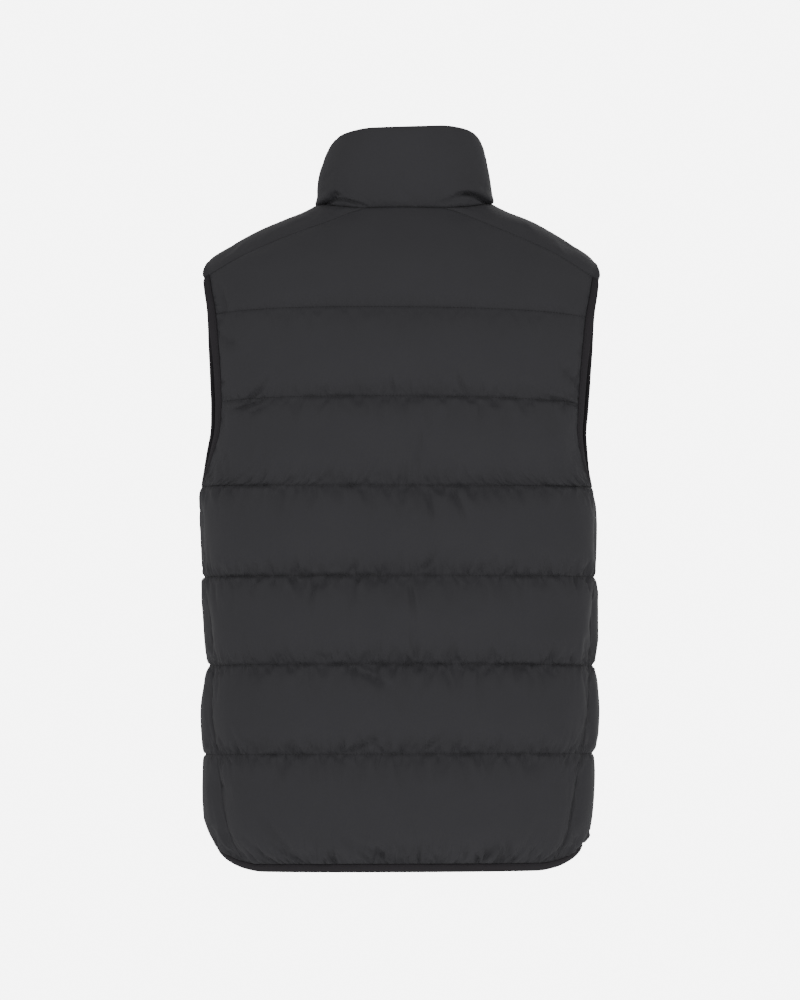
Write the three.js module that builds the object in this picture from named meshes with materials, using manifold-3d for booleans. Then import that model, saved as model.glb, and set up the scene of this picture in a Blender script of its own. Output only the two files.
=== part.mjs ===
// A quilted puffer vest with a stand-up collar, filled out as if worn, with nothing inside it.
// Millimetres, +Z up. The back of the vest faces -Y and its closed zip faces +Y.
// The origin is the middle of the neck, level with the collar seam at the centre back.
// Each panel is a thin wall: plain inside, with its quilting raised in its outer points.
import * as THREE from 'three';
import { mergeVertices } from 'three/addons/utils/BufferGeometryUtils.js';
import Module from 'manifold-3d';

// Walls and seams
const wallThickness = 3;
const seamGap = 0.3;
const quiltLoft = 14;
const yokeLoft = 4;
const collarLoft = 6;
const edgePinch = 22;
const backHalfArc = 250;
const sectionPower = 2.4;

// Openings
const armholeTop = -59;
const armholeBottom = -293;
const armholeHalfDepth = 64;
const armholeSetBack = -3;
const armholePower = 2.2;
const backYokeEnd = -72;
const frontYokeEnd = -85;
const frontYokeTurn = 140;

// Bindings
const bindingWidth = 9;
const bindingRaised = 1.2;
const bindingInside = 4;
const bindingRounding = 1.4;

// Closed zip
const zipHalfSlot = 5;
const tapeWidth = 14;
const tapeThickness = 0.9;
const tapeGap = 0.45;
const chainHalfWidth = 2.8;
const chainTopBelowSurface = 0.6;
const sliderSize = { halfWidth: 3.9, length: 13, raised: 1.5 };
const bridgeSize = { halfWidth: 1.5, halfLength: 5, inside: 3, gap: 3.2, bar: 1.4 };
const pullSize = { halfWidth: 3.5, length: 30, thickness: 1.6, eyeHalfWidth: 2, bar: 0.9, eyeEnd: 7.9 };
const boxSize = { halfWidth: 4.1, below: 8, above: 5, raised: 1 };
const stopSize = { inside: 0.8, outside: 4, length: 3, raised: 0.6 };
const sliderHeight = 14;
const stopHeight = 24;

// Sections of the filled-out body along its stitch lines, from the neck down to the hem
const sections = [
  { z: 16, side: 80, back: 65, front: 24 },
  { z: 5, side: 88, back: 68, front: 32 },
  { z: 0, side: 92, back: 70, front: 36 },
  { z: -8, side: 105, back: 73, front: 42 },
  { z: -16, side: 124.5, back: 77, front: 49 },
  { z: -25, side: 144, back: 82, front: 55 },
  { z: -35, side: 162.5, back: 87, front: 62 },
  { z: -45, side: 179, back: 92, front: 69 },
  { z: -55, side: 195, back: 96, front: 75 },
  { z: -65, side: 205, back: 99, front: 80 },
  { z: -75, side: 208.5, back: 102, front: 86 },
  { z: -97, side: 213, back: 108, front: 97 },
  { z: -139, side: 215, back: 115, front: 110 },
  { z: -181, side: 212, back: 118, front: 118 },
  { z: -212, side: 208, back: 119, front: 121 },
  { z: -243, side: 204, back: 119, front: 123 },
  { z: -270, side: 204, back: 118, front: 124 },
  { z: -306, side: 204, back: 117, front: 124 },
  { z: -350, side: 203, back: 116, front: 124 },
  { z: -390, side: 203.5, back: 115, front: 124 },
  { z: -437, side: 199.5, back: 115, front: 123 },
  { z: -480, side: 200, back: 116, front: 122 },
  { z: -531, side: 203, back: 118, front: 121 },
  { z: -571, side: 202, back: 119, front: 120 },
  { z: -604, side: 199.5, back: 119, front: 119 },
  { z: -640, side: 196.5, back: 117, front: 116 },
  { z: -661, side: 193, back: 114, front: 112 },
  { z: -675, side: 187, back: 110, front: 108 },
  { z: -700, side: 172, back: 103, front: 103 },
];

// Neck seam: turn in degrees from the centre back, height, and the collar's top edge above it
const neckLine = [
  { turn: 0, z: 0, top: 84.5 },
  { turn: 21, z: -0.6, top: 84.4 },
  { turn: 45, z: 1, top: 81 },
  { turn: 70, z: 3, top: 73 },
  { turn: 90, z: 3.5, top: 63 },
  { turn: 110, z: 2, top: 51 },
  { turn: 130, z: -3, top: 43 },
  { turn: 150, z: -18, top: 37 },
  { turn: 160, z: -35, top: 34 },
  { turn: 170, z: -53, top: 31 },
  { turn: 180, z: -61, top: 30 },
];
const collarTaper = { side: 0.845, back: 0.94, front: 0.9 };

// Yoke seam behind each shoulder, from the neck to the armhole
const backYokeSeam = [
  { x: 40, z: -0.6 },
  { x: 55, z: -5.5 },
  { x: 70, z: -11.5 },
  { x: 95, z: -21 },
  { x: 111, z: -27 },
  { x: 134, z: -36.5 },
  { x: 159, z: -47.8 },
  { x: 175, z: -56.5 },
  { x: 188, z: -64.5 },
  { x: 200, z: -72 },
];

// Quilting: height at the centre, and how far the line sinks towards the sides
const quiltLines = [
  { z: -104.5, droop: 9 },
  { z: -197.5, droop: 7 },
  { z: -290.5, droop: 2.5 },
  { z: -384.5, droop: 2.5 },
  { z: -477, droop: 2.5 },
  { z: -571, droop: 1 },
];
const baffleLoft = [0.72, 0.88, 0.94, 1, 1, 0.96, 0.9];
const rowShares = [0, 0.08, 0.32, 0.66, 0.92];
const seamShares = [0, 0.07, 0.16, 0.28, 0.42, 0.57, 0.72, 0.86, 0.95, 1];
const neckShares = [0, 0.5, 1];
const yokeShares = [0, 0.06, 0.2, 0.35, 0.5, 0.65, 0.8, 0.94, 1];
const collarShares = [0, 0.1, 0.28, 0.52, 0.76, 0.92, 1];

// Side seam: turn from the centre back. It starts under the arm and drifts behind the side
const sideSeam = [
  { z: -293, turn: 89.3 },
  { z: -345, turn: 88 },
  { z: -390, turn: 85 },
  { z: -437, turn: 81.5 },
  { z: -484, turn: 78 },
  { z: -520, turn: 74 },
  { z: -571, turn: 68.5 },
  { z: -604, turn: 66 },
  { z: -640, turn: 64 },
  { z: -668, turn: 61.5 },
  { z: -700, turn: 59 },
];

// Lower edge of the hem, all round: the back drops lower than the fronts
const hemLine = [
  { turn: 0, z: -695 },
  { turn: 50, z: -695 },
  { turn: 62, z: -692 },
  { turn: 76, z: -684 },
  { turn: 90, z: -676 },
  { turn: 110, z: -671 },
  { turn: 140, z: -669 },
  { turn: 180, z: -669 },
];

// How the vest hangs a little out of true: sideways shift, and rise for each millimetre of x
const hangTable = [
  { z: 84, shift: 6.6, tilt: 0.03 },
  { z: 60, shift: 5, tilt: 0.025 },
  { z: 30, shift: 3.9, tilt: 0.005 },
  { z: 0, shift: 4.5, tilt: 0 },
  { z: -14, shift: 4.6, tilt: 0 },
  { z: -24, shift: 2.6, tilt: 0 },
  { z: -40, shift: 1.2, tilt: 0 },
  { z: -60, shift: 0.8, tilt: -0.004 },
  { z: -105, shift: 0.5, tilt: -0.008 },
  { z: -200, shift: -0.4, tilt: -0.005 },
  { z: -280, shift: -4, tilt: -0.002 },
  { z: -330, shift: -2, tilt: 0 },
  { z: -400, shift: -0.8, tilt: 0 },
  { z: -460, shift: 1, tilt: 0 },
  { z: -520, shift: -0.3, tilt: 0.001 },
  { z: -635, shift: -2.3, tilt: 0.004 },
  { z: -675, shift: -0.5, tilt: 0.004 },
];

// Reads one column of a table at a value of its key column, along smooth limited slopes
function readTable(rows, key, column, value) {
  const sorted = rows[0][key] < rows[rows.length - 1][key] ? rows : [...rows].reverse();
  const last = sorted.length - 1;
  if (value <= sorted[0][key]) return sorted[0][column];
  if (value >= sorted[last][key]) return sorted[last][column];
  let span = 0;
  while (value > sorted[span + 1][key]) span += 1;
  const rise = (n) => (sorted[n + 1][column] - sorted[n][column]) / (sorted[n + 1][key] - sorted[n][key]);
  const slope = (n) => {
    if (n === 0) return rise(0);
    if (n === last) return rise(last - 1);
    const before = rise(n - 1);
    const after = rise(n);
    return before * after <= 0 ? 0 : (2 * before * after) / (before + after);
  };
  const width = sorted[span + 1][key] - sorted[span][key];
  const s = (value - sorted[span][key]) / width;
  const start = (1 + 2 * s) * (1 - s) ** 2 * sorted[span][column];
  const end = (3 - 2 * s) * s * s * sorted[span + 1][column];
  const bend = s * (1 - s) * ((1 - s) * slope(span) - s * slope(span + 1)) * width;
  return start + end + bend;
}

const lerp = THREE.MathUtils.lerp;
const clamp = THREE.MathUtils.clamp;
const radians = THREE.MathUtils.degToRad;
const degrees = THREE.MathUtils.radToDeg;

// A point on the stitch surface of the body: turn in degrees from the centre back
function bodyPoint(turn, z) {
  const side = readTable(sections, 'z', 'side', z);
  const depth = readTable(sections, 'z', Math.abs(turn) <= 90 ? 'back' : 'front', z);
  const sine = Math.sin(radians(turn));
  const cosine = Math.cos(radians(turn));
  const x = Math.sign(sine) * side * Math.abs(sine) ** (2 / sectionPower);
  const y = -Math.sign(cosine) * depth * Math.abs(cosine) ** (2 / sectionPower);
  return new THREE.Vector3(x, y, z);
}

function bodyNormal(turn, z) {
  const step = 1.5;
  const across = bodyPoint(turn + step, z).sub(bodyPoint(turn - step, z));
  const up = bodyPoint(turn, z + step).sub(bodyPoint(turn, z - step));
  return across.cross(up).normalize();
}

// The turn at which a section is a given distance from the middle, or in front of or behind it
function turnAtSide(x, z) {
  const share = clamp(x / readTable(sections, 'z', 'side', z), 0, 1);
  return degrees(Math.asin(share ** (sectionPower / 2)));
}

function turnAtDepth(y, z) {
  const depth = readTable(sections, 'z', y < 0 ? 'back' : 'front', z);
  const angle = degrees(Math.acos(clamp(Math.abs(y) / depth, 0, 1) ** (sectionPower / 2)));
  return y < 0 ? angle : 180 - angle;
}

// Armhole: an upright oval seen from the side, cut into the body; facing is -1 behind, 1 in front
function armholeTurn(z, facing) {
  const middle = (armholeTop + armholeBottom) / 2;
  const halfHeight = (armholeTop - armholeBottom) / 2;
  const share = clamp(Math.abs(z - middle) / halfHeight, 0, 1);
  const reach = armholeHalfDepth * (1 - share ** armholePower) ** (1 / armholePower);
  return turnAtDepth(armholeSetBack + facing * reach, z);
}

function edgeTurn(z, facing) {
  return z > armholeBottom ? armholeTurn(z, facing) : readTable(sideSeam, 'z', 'turn', z);
}

function neckHeight(turn) {
  return readTable(neckLine, 'turn', 'z', turn);
}

// Each seam is a list of turn and height pairs that both of its pieces share
function backNeckSeam() {
  const corner = turnAtSide(backYokeSeam[0].x, backYokeSeam[0].z);
  return neckShares.map((share) => ({ turn: corner * share, z: neckHeight(corner * share) }));
}

function backYokeStations() {
  const start = backYokeSeam[0].x;
  const end = backYokeSeam[backYokeSeam.length - 1].x;
  return seamShares.map((share) => {
    const x = lerp(start, end, share);
    const z = share === 1 ? backYokeEnd : readTable(backYokeSeam, 'x', 'z', x);
    const turn = share === 1 ? armholeTurn(z, -1) : turnAtSide(x, z);
    return { turn, z };
  });
}

function frontNeckSeam() {
  const lowest = neckHeight(180);
  const start = 180 - turnAtSide(zipHalfSlot, lowest);
  return [0, 0.2, 0.45, 0.72, 1].map((share) => {
    const turn = lerp(start, frontYokeTurn, share);
    return { turn, z: neckHeight(turn) };
  });
}

function frontYokeStations() {
  const endTurn = armholeTurn(frontYokeEnd, 1);
  const startHeight = neckHeight(frontYokeTurn);
  return seamShares.map((share) => ({
    turn: lerp(frontYokeTurn, endTurn, share),
    z: lerp(startHeight, frontYokeEnd, share ** 0.92),
  }));
}

function yokeNeckStations() {
  const start = backYokeStations()[0].turn;
  return yokeShares.map((share) => {
    const turn = lerp(start, frontYokeTurn, share);
    return { turn, z: neckHeight(turn) };
  });
}

// The shoulder tip: stations round the top of the armhole from one yoke seam to the other
function yokeTipStations() {
  const middle = (armholeTop + armholeBottom) / 2;
  const halfHeight = (armholeTop - armholeBottom) / 2;
  const angleAt = (z, facing) => facing * Math.acos(((z - middle) / halfHeight) ** (armholePower / 2));
  const start = angleAt(backYokeEnd, -1);
  const end = angleAt(frontYokeEnd, 1);
  return yokeShares.map((share) => {
    const angle = lerp(start, end, share);
    const z = middle + halfHeight * Math.abs(Math.cos(angle)) ** (2 / armholePower);
    const reach = armholeHalfDepth * Math.abs(Math.sin(angle)) ** (2 / armholePower);
    return { turn: turnAtDepth(armholeSetBack + Math.sign(angle) * reach, z), z };
  });
}

// The small lean of the whole garment
function hang(point) {
  const shift = readTable(hangTable, 'z', 'shift', point.z);
  const tilt = readTable(hangTable, 'z', 'tilt', point.z);
  return new THREE.Vector3(point.x + shift, point.y, point.z + tilt * point.x);
}

// Closed geometry from points and triangles, with its faces turned outwards
function closedGeometry(points, triangles) {
  const placed = points.map(hang);
  let volume = 0;
  for (const [a, b, c] of triangles) {
    volume += placed[a].dot(placed[b].clone().cross(placed[c]));
  }
  const turned = volume > 0 ? triangles : triangles.map(([a, b, c]) => [a, c, b]);
  const geometry = new THREE.BufferGeometry();
  geometry.setAttribute('position', new THREE.Float32BufferAttribute(placed.flatMap((p) => p.toArray()), 3));
  geometry.setIndex(turned.flat());
  geometry.computeVertexNormals();
  return geometry;
}

// Draws the border points of a grid back from its seams, square to each border and along the cloth
function openSeams(grid, normals, distance) {
  const rows = grid.length;
  const columns = grid[0].length;
  const original = grid.map((row) => row.map((p) => p.clone()));
  const within = (n, count) => clamp(n, 0, count - 1);
  const draw = (r, c, inRow, inColumn) => {
    const [alongRow, alongColumn] = inRow === 0 ? [1, 0] : [0, 1];
    const after = original[within(r + alongRow, rows)][within(c + alongColumn, columns)];
    const before = original[within(r - alongRow, rows)][within(c - alongColumn, columns)];
    const inward = after.clone().sub(before).cross(normals[r][c]).normalize();
    const neighbour = original[r + inRow][c + inColumn].clone().sub(original[r][c]);
    if (inward.dot(neighbour) < 0) inward.negate();
    grid[r][c].addScaledVector(inward, distance);
  };
  for (let c = 0; c < columns; c += 1) {
    draw(0, c, 1, 0);
    draw(rows - 1, c, -1, 0);
  }
  for (let r = 0; r < rows; r += 1) {
    draw(r, 0, 0, 1);
    draw(r, columns - 1, 0, -1);
  }
}

// A wall from a grid of places, each with a point, a normal and the loft of its outer face
function wallGeometry(places, mirrored) {
  const rows = places.length;
  const columns = places[0].length;
  const side = mirrored ? -1 : 1;
  const base = places.map((row) => row.map((place) => place.point.clone()));
  openSeams(base, places.map((row) => row.map((place) => place.normal)), seamGap / 2);
  const layer = (offset) => base.map((row, r) => row.map((point, c) => {
    const { normal, loft } = places[r][c];
    const moved = point.clone().addScaledVector(normal, offset(loft));
    moved.x *= side;
    return moved;
  }));
  const faces = [layer((loft) => loft), layer(() => -wallThickness)];
  const at = (face, r, c) => (face * rows + r) * columns + c;
  const triangles = [];
  const quad = (a, b, c, d) => triangles.push([a, b, c], [a, c, d]);
  for (let r = 0; r < rows - 1; r += 1) {
    for (let c = 0; c < columns - 1; c += 1) {
      quad(at(0, r, c), at(0, r, c + 1), at(0, r + 1, c + 1), at(0, r + 1, c));
      quad(at(1, r, c), at(1, r + 1, c), at(1, r + 1, c + 1), at(1, r, c + 1));
    }
    quad(at(0, r, 0), at(0, r + 1, 0), at(1, r + 1, 0), at(1, r, 0));
    quad(at(0, r + 1, columns - 1), at(0, r, columns - 1), at(1, r, columns - 1), at(1, r + 1, columns - 1));
  }
  for (let c = 0; c < columns - 1; c += 1) {
    quad(at(0, 0, c + 1), at(0, 0, c), at(1, 0, c), at(1, 0, c + 1));
    quad(at(0, rows - 1, c), at(0, rows - 1, c + 1), at(1, rows - 1, c + 1), at(1, rows - 1, c));
  }
  return closedGeometry(faces.flat(2), triangles);
}

// A tube through sections of equal point count, closed on itself or with a cap at each end
function sweepGeometry(loops, closed) {
  const count = loops[0].length;
  const spans = closed ? loops.length : loops.length - 1;
  const triangles = [];
  for (let s = 0; s < spans; s += 1) {
    const here = s * count;
    const next = ((s + 1) % loops.length) * count;
    for (let k = 0; k < count; k += 1) {
      const after = (k + 1) % count;
      triangles.push([here + k, here + after, next + after], [here + k, next + after, next + k]);
    }
  }
  if (!closed) {
    const end = (loops.length - 1) * count;
    for (let k = 1; k < count - 1; k += 1) {
      triangles.push([0, k + 1, k], [end, end + k, end + k + 1]);
    }
  }
  return closedGeometry(loops.flat(), triangles);
}

// How full the quilting is at a place: pinched at its stitch lines and its cut edges
function quiltHeight(level, share, towardsEdge, fromZip) {
  const round = (4 * share * (1 - share)) ** 0.55;
  const edge = clamp(((1 - Math.abs(towardsEdge)) * backHalfArc) / edgePinch, 0, 1) ** 0.6;
  const front = clamp(fromZip / edgePinch, 0, 1) ** 0.6;
  const flank = 1 - 0.62 * towardsEdge * towardsEdge;
  const slowWave = 0.1 * Math.sin(7.3 * towardsEdge + 2.1 * level);
  const quickWave = 0.07 * Math.sin(13.7 * towardsEdge - level);
  const uneven = 1 + slowWave + quickWave;
  return quiltLoft * baffleLoft[level] * round * edge * front * flank * uneven;
}

// Height of a quilt line, or of the hem's cut edge, at a share of the way to the panel's edge
function lineHeight(level, towardsEdge, turn) {
  if (level > quiltLines.length) return readTable(hemLine, 'turn', 'z', Math.abs(turn)) + bindingWidth;
  const line = quiltLines[level - 1];
  return line.z - line.droop * towardsEdge * towardsEdge;
}

// Rows of a quilted panel from its top edge to its hem
function quiltRows(topEdge, facing) {
  const rows = [];
  const hemTurn = readTable(sideSeam, 'z', 'turn', -690);
  for (let level = 0; level <= quiltLines.length; level += 1) {
    const shares = level === quiltLines.length ? [...rowShares, 1] : rowShares;
    for (const share of shares) {
      const above = level === 0 ? topEdge : lineHeight(level, 1, hemTurn);
      const edgeHeight = lerp(above, lineHeight(level + 1, 1, hemTurn), share);
      rows.push({ level, share, edgeHeight, edge: edgeTurn(edgeHeight, facing) });
    }
  }
  return rows;
}

function backPanelPlaces() {
  const half = [...backNeckSeam(), ...backYokeStations().slice(1)];
  const stations = [...half.slice(1).reverse().map(({ turn, z }) => ({ turn: -turn, z })), ...half];
  const widest = half[half.length - 1].turn;
  return quiltRows(backYokeEnd, -1).map(({ level, share, edge }) => stations.map((station) => {
    const u = station.turn / widest;
    const turn = u * edge;
    const above = level === 0 ? station.z : lineHeight(level, u, turn);
    const z = lerp(above, lineHeight(level + 1, u, turn), share);
    const loft = quiltHeight(level, share, u, edgePinch);
    return { point: bodyPoint(turn, z), normal: bodyNormal(turn, z), loft };
  }));
}

function frontPanelPlaces(sideSign) {
  const stations = [...frontNeckSeam(), ...frontYokeStations().slice(1)];
  const widest = stations[stations.length - 1].turn;
  const zipTurn = (z) => 180 - turnAtSide(zipHalfSlot, z);
  return quiltRows(frontYokeEnd, 1).map(({ level, share, edge }) => stations.map((station) => {
    const topTurn = zipTurn(station.z);
    const u = (topTurn - station.turn) / (topTurn - widest);
    const above = level === 0 ? station.z : lineHeight(level, u, edge);
    const below = lineHeight(level + 1, u, lerp(180, edge, u));
    const z = lerp(above, below, share);
    const turn = lerp(zipTurn(z), edge, u);
    const point = bodyPoint(turn, z);
    const loft = quiltHeight(level, share, sideSign * u, point.x - zipHalfSlot);
    return { point, normal: bodyNormal(turn, z), loft };
  }));
}

// The yoke fills the patch between its two seams, the neck and the shoulder tip
function yokePlaces() {
  const back = backYokeStations();
  const front = frontYokeStations();
  const neck = yokeNeckStations();
  const tip = yokeTipStations();
  const blend = (key, u, v, i, j) => {
    const sides = lerp(back[i][key], front[i][key], v) + lerp(neck[j][key], tip[j][key], u);
    const top = lerp(back[0][key], front[0][key], v);
    const end = lerp(back[back.length - 1][key], front[front.length - 1][key], v);
    return sides - lerp(top, end, u);
  };
  return seamShares.map((u, i) => yokeShares.map((v, j) => {
    const turn = blend('turn', u, v, i, j);
    const z = blend('z', u, v, i, j);
    const round = (16 * u * (1 - u) * v * (1 - v)) ** 0.4;
    return { point: bodyPoint(turn, z), normal: bodyNormal(turn, z), loft: yokeLoft * round };
  }));
}

// Collar: stations right round the neck from one zip edge to the other
function neckStations() {
  const half = [...backNeckSeam(), ...yokeNeckStations().slice(1), ...frontNeckSeam().reverse().slice(1)];
  return [...half.slice(1).reverse().map(({ turn, z }) => ({ turn: -turn, z })), ...half];
}

function collarPoint(station, share) {
  const seam = bodyPoint(station.turn, station.z);
  const top = readTable(neckLine, 'turn', 'top', Math.abs(station.turn));
  const depthTaper = Math.abs(station.turn) < 90 ? collarTaper.back : collarTaper.front;
  const beyondZip = Math.max(Math.abs(seam.x) - zipHalfSlot, 0) * collarTaper.side;
  const narrow = Math.min(Math.abs(seam.x), zipHalfSlot);
  const x = Math.sign(seam.x) * (narrow + beyondZip);
  const upper = new THREE.Vector3(x, seam.y * depthTaper, top);
  return seam.lerp(upper, share);
}

function collarPlaces() {
  const stations = neckStations();
  const last = stations.length - 1;
  return collarShares.map((share) => stations.map((station, index) => {
    const point = collarPoint(station, share);
    const before = stations[Math.max(index - 1, 0)];
    const after = stations[Math.min(index + 1, last)];
    const across = collarPoint(after, share).sub(collarPoint(before, share));
    const up = collarPoint(station, 1).sub(collarPoint(station, 0));
    const normal = across.cross(up).normalize();
    const round = (4 * share * (1 - share)) ** 0.45;
    const fromEnd = Math.min(index, last - index);
    const ends = fromEnd === 0 ? 0 : fromEnd === 1 ? 0.75 : 1;
    const foldTurn = (Math.abs(station.turn) - 62) / 9;
    const pinch = 1 - 0.75 * Math.exp(-foldTurn * foldTurn) * (1 - share) ** 2;
    return { point, normal, loft: collarLoft * round * ends * pinch };
  }));
}

// A rounded strip section that lies along a cut edge: width goes away from the panel
function bindingSection(point, normal, away) {
  const end = seamGap + bindingWidth;
  const middle = (bindingRaised - bindingInside) / 2;
  const outline = [
    [seamGap, bindingRaised - bindingRounding],
    [seamGap + bindingRounding, bindingRaised],
    [end - bindingRounding, bindingRaised],
    [end, middle],
    [end - bindingRounding, -bindingInside],
    [seamGap + bindingRounding, -bindingInside],
    [seamGap, bindingRounding - bindingInside],
  ];
  return outline.map(([width, height]) => point.clone()
    .addScaledVector(away, width)
    .addScaledVector(normal, height));
}

function armholeStations() {
  const edges = (top, facing) => quiltRows(top, facing)
    .filter(({ edgeHeight }) => edgeHeight >= armholeBottom - 0.01)
    .map(({ edgeHeight, edge }) => ({ turn: edge, z: edgeHeight }));
  const back = edges(backYokeEnd, -1);
  const front = edges(frontYokeEnd, 1);
  return [...yokeTipStations().slice(1, -1), ...front, ...back.reverse().slice(1)];
}

function armholeBindingGeometry(mirrored) {
  const stations = armholeStations();
  const count = stations.length;
  const points = stations.map(({ turn, z }) => bodyPoint(turn, z));
  const loops = stations.map(({ turn, z }, index) => {
    const normal = bodyNormal(turn, z);
    const along = points[(index + 1) % count].clone().sub(points[(index + count - 1) % count]).normalize();
    const away = along.clone().cross(normal).normalize();
    return bindingSection(points[index], normal, away).map((p) => {
      p.x *= mirrored ? -1 : 1;
      return p;
    });
  });
  return sweepGeometry(loops, true);
}

function hemStations() {
  const back = backPanelPlaces();
  const front = frontPanelPlaces(1);
  const backHem = back[back.length - 1].slice((back[0].length - 1) / 2);
  const frontHem = front[front.length - 1].reverse().slice(1);
  const half = [...backHem, ...frontHem];
  const mirrored = half.slice(1).reverse().map(({ point, normal }) => ({
    point: new THREE.Vector3(-point.x, point.y, point.z),
    normal: new THREE.Vector3(-normal.x, normal.y, normal.z),
  }));
  return [...mirrored, ...half];
}

function hemBindingGeometry() {
  const stations = hemStations();
  const last = stations.length - 1;
  const loops = stations.map(({ point, normal }, index) => {
    const before = stations[Math.max(index - 1, 0)].point;
    const after = stations[Math.min(index + 1, last)].point;
    const along = after.clone().sub(before).normalize();
    const away = normal.clone().cross(along).normalize();
    if (away.z > 0) away.negate();
    return bindingSection(point, normal, away);
  });
  return sweepGeometry(loops, false);
}

// The closed zip runs up the centre front and on up the collar: two places of each row, the first
// at the zip edge and the second beside it
function zipRows() {
  const body = frontPanelPlaces(1).map((row) => row.slice(0, 2)).reverse();
  const collar = collarPlaces().map((row) => row.slice(-2).reverse());
  return [...body, ...collar.slice(1)];
}

function zipPath() {
  return zipRows().map(([place]) => ({
    point: place.point.clone().setX(0),
    normal: place.normal.clone().setX(0),
  }));
}

// A point of the zip's path at a height, between the rows
function zipPlace(height) {
  const path = zipPath();
  let span = 0;
  while (span < path.length - 2 && path[span + 1].point.z < height) span += 1;
  const [low, high] = [path[span], path[span + 1]];
  const share = (height - low.point.z) / (high.point.z - low.point.z);
  const point = low.point.clone().lerp(high.point, share);
  const along = high.point.clone().sub(low.point).normalize();
  return { point, normal: new THREE.Vector3(0, along.z, -along.y), along };
}

// A flat bar along part of the zip, between two distances from the middle and two depths
function zipBarGeometry(places, inside, outside, top, bottom) {
  const loops = places.map(({ point, normal }) => [
    [inside, top],
    [outside, top],
    [outside, bottom],
    [inside, bottom],
  ].map(([x, depth]) => point.clone().addScaledVector(normal, depth).setX(x)));
  return sweepGeometry(loops, false);
}

const tapeTop = -(wallThickness + tapeGap);

// A tape lies behind the panel and the collar, and its inner edge meets the other tape's
function tapeGeometry(sign) {
  const loops = zipRows().map(([edge, beside]) => {
    const share = (tapeWidth - edge.point.x) / (beside.point.x - edge.point.x);
    const outer = edge.point.clone().lerp(beside.point, share);
    const outerNormal = edge.normal.clone().lerp(beside.normal, share);
    const corners = [
      [edge.point.clone().setX(seamGap / 2), edge.normal.clone().setX(0)],
      [edge.point, edge.normal],
      [outer, outerNormal],
    ];
    const layer = (depth) => corners.map(([point, normal]) => {
      const moved = point.clone().addScaledVector(normal, depth);
      moved.x *= sign;
      return moved;
    });
    return [...layer(tapeTop), ...layer(tapeTop - tapeThickness).reverse()];
  });
  return sweepGeometry(loops, false);
}

function chainGeometry() {
  const path = zipPath();
  const hem = path[0].point.z;
  const start = zipPlace(hem + boxSize.above + seamGap);
  const end = zipPlace(sliderHeight - sliderSize.length / 2 - seamGap);
  const middle = path.filter(({ point }) => point.z > start.point.z + 1 && point.z < end.point.z - 1);
  const places = [start, ...middle, end];
  return zipBarGeometry(places, -chainHalfWidth, chainHalfWidth, -chainTopBelowSurface, tapeTop + seamGap);
}

function zipBoxGeometry() {
  const hem = zipPath()[0].point.z;
  const place = zipPlace(hem + seamGap);
  const down = place.along.clone().negate();
  const low = { point: place.point.clone().addScaledVector(down, boxSize.below), normal: place.normal };
  const up = place.point.clone().addScaledVector(place.along, boxSize.above);
  const places = [low, { point: up, normal: place.normal }];
  return zipBarGeometry(places, -boxSize.halfWidth, boxSize.halfWidth, boxSize.raised, tapeTop + seamGap);
}

function topStopGeometry(sign) {
  const places = [zipPlace(stopHeight), zipPlace(stopHeight + stopSize.length)];
  const inside = sign * stopSize.inside;
  const outside = sign * stopSize.outside;
  return zipBarGeometry(places, inside, outside, stopSize.raised, tapeTop + seamGap);
}

// Small hard pieces are made upright at the origin, then stood on the zip: x, outwards, up
function standOnZip(geometry, height) {
  const { point, normal, along } = zipPlace(height);
  const across = new THREE.Vector3(1, 0, 0);
  const centre = hang(point);
  const placing = new THREE.Matrix4().makeBasis(across, normal, along).setPosition(centre);
  return geometry.applyMatrix4(placing);
}

function barGeometry(halfWidth, low, high, from, to) {
  const geometry = new THREE.BoxGeometry(halfWidth * 2, high - low, to - from);
  return geometry.translate(0, (high + low) / 2, (from + to) / 2);
}

const wasm = await Module();
wasm.setup();

function toSolid(geometry) {
  const bare = geometry.clone();
  bare.deleteAttribute('normal');
  bare.deleteAttribute('uv');
  const merged = mergeVertices(bare);
  return new wasm.Manifold(new wasm.Mesh({
    numProp: 3,
    vertProperties: new Float32Array(merged.attributes.position.array),
    triVerts: new Uint32Array(merged.index.array),
  }));
}

function joinedGeometry(geometries) {
  const joined = geometries.map(toSolid).reduce((sum, solid) => sum.add(solid)).getMesh();
  const geometry = new THREE.BufferGeometry();
  geometry.setAttribute('position', new THREE.Float32BufferAttribute(joined.vertProperties, 3));
  geometry.setIndex([...joined.triVerts]);
  geometry.computeVertexNormals();
  return geometry;
}

// Slider body with the arched bridge that carries the pull
function sliderGeometry() {
  const { halfWidth, length, raised } = sliderSize;
  const bridgeTop = raised + bridgeSize.gap + bridgeSize.bar;
  const under = raised + bridgeSize.gap;
  const body = barGeometry(halfWidth, tapeTop + seamGap, raised, -length / 2, length / 2);
  const reach = bridgeSize.halfLength;
  const roof = barGeometry(bridgeSize.halfWidth, under, bridgeTop, -reach, reach);
  const foot = (from, to) => barGeometry(bridgeSize.halfWidth, raised - 0.5, bridgeTop, from, to);
  const lower = foot(-bridgeSize.halfLength, -bridgeSize.inside);
  const upper = foot(bridgeSize.inside, bridgeSize.halfLength);
  return standOnZip(joinedGeometry([body, roof, lower, upper]), sliderHeight);
}

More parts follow.
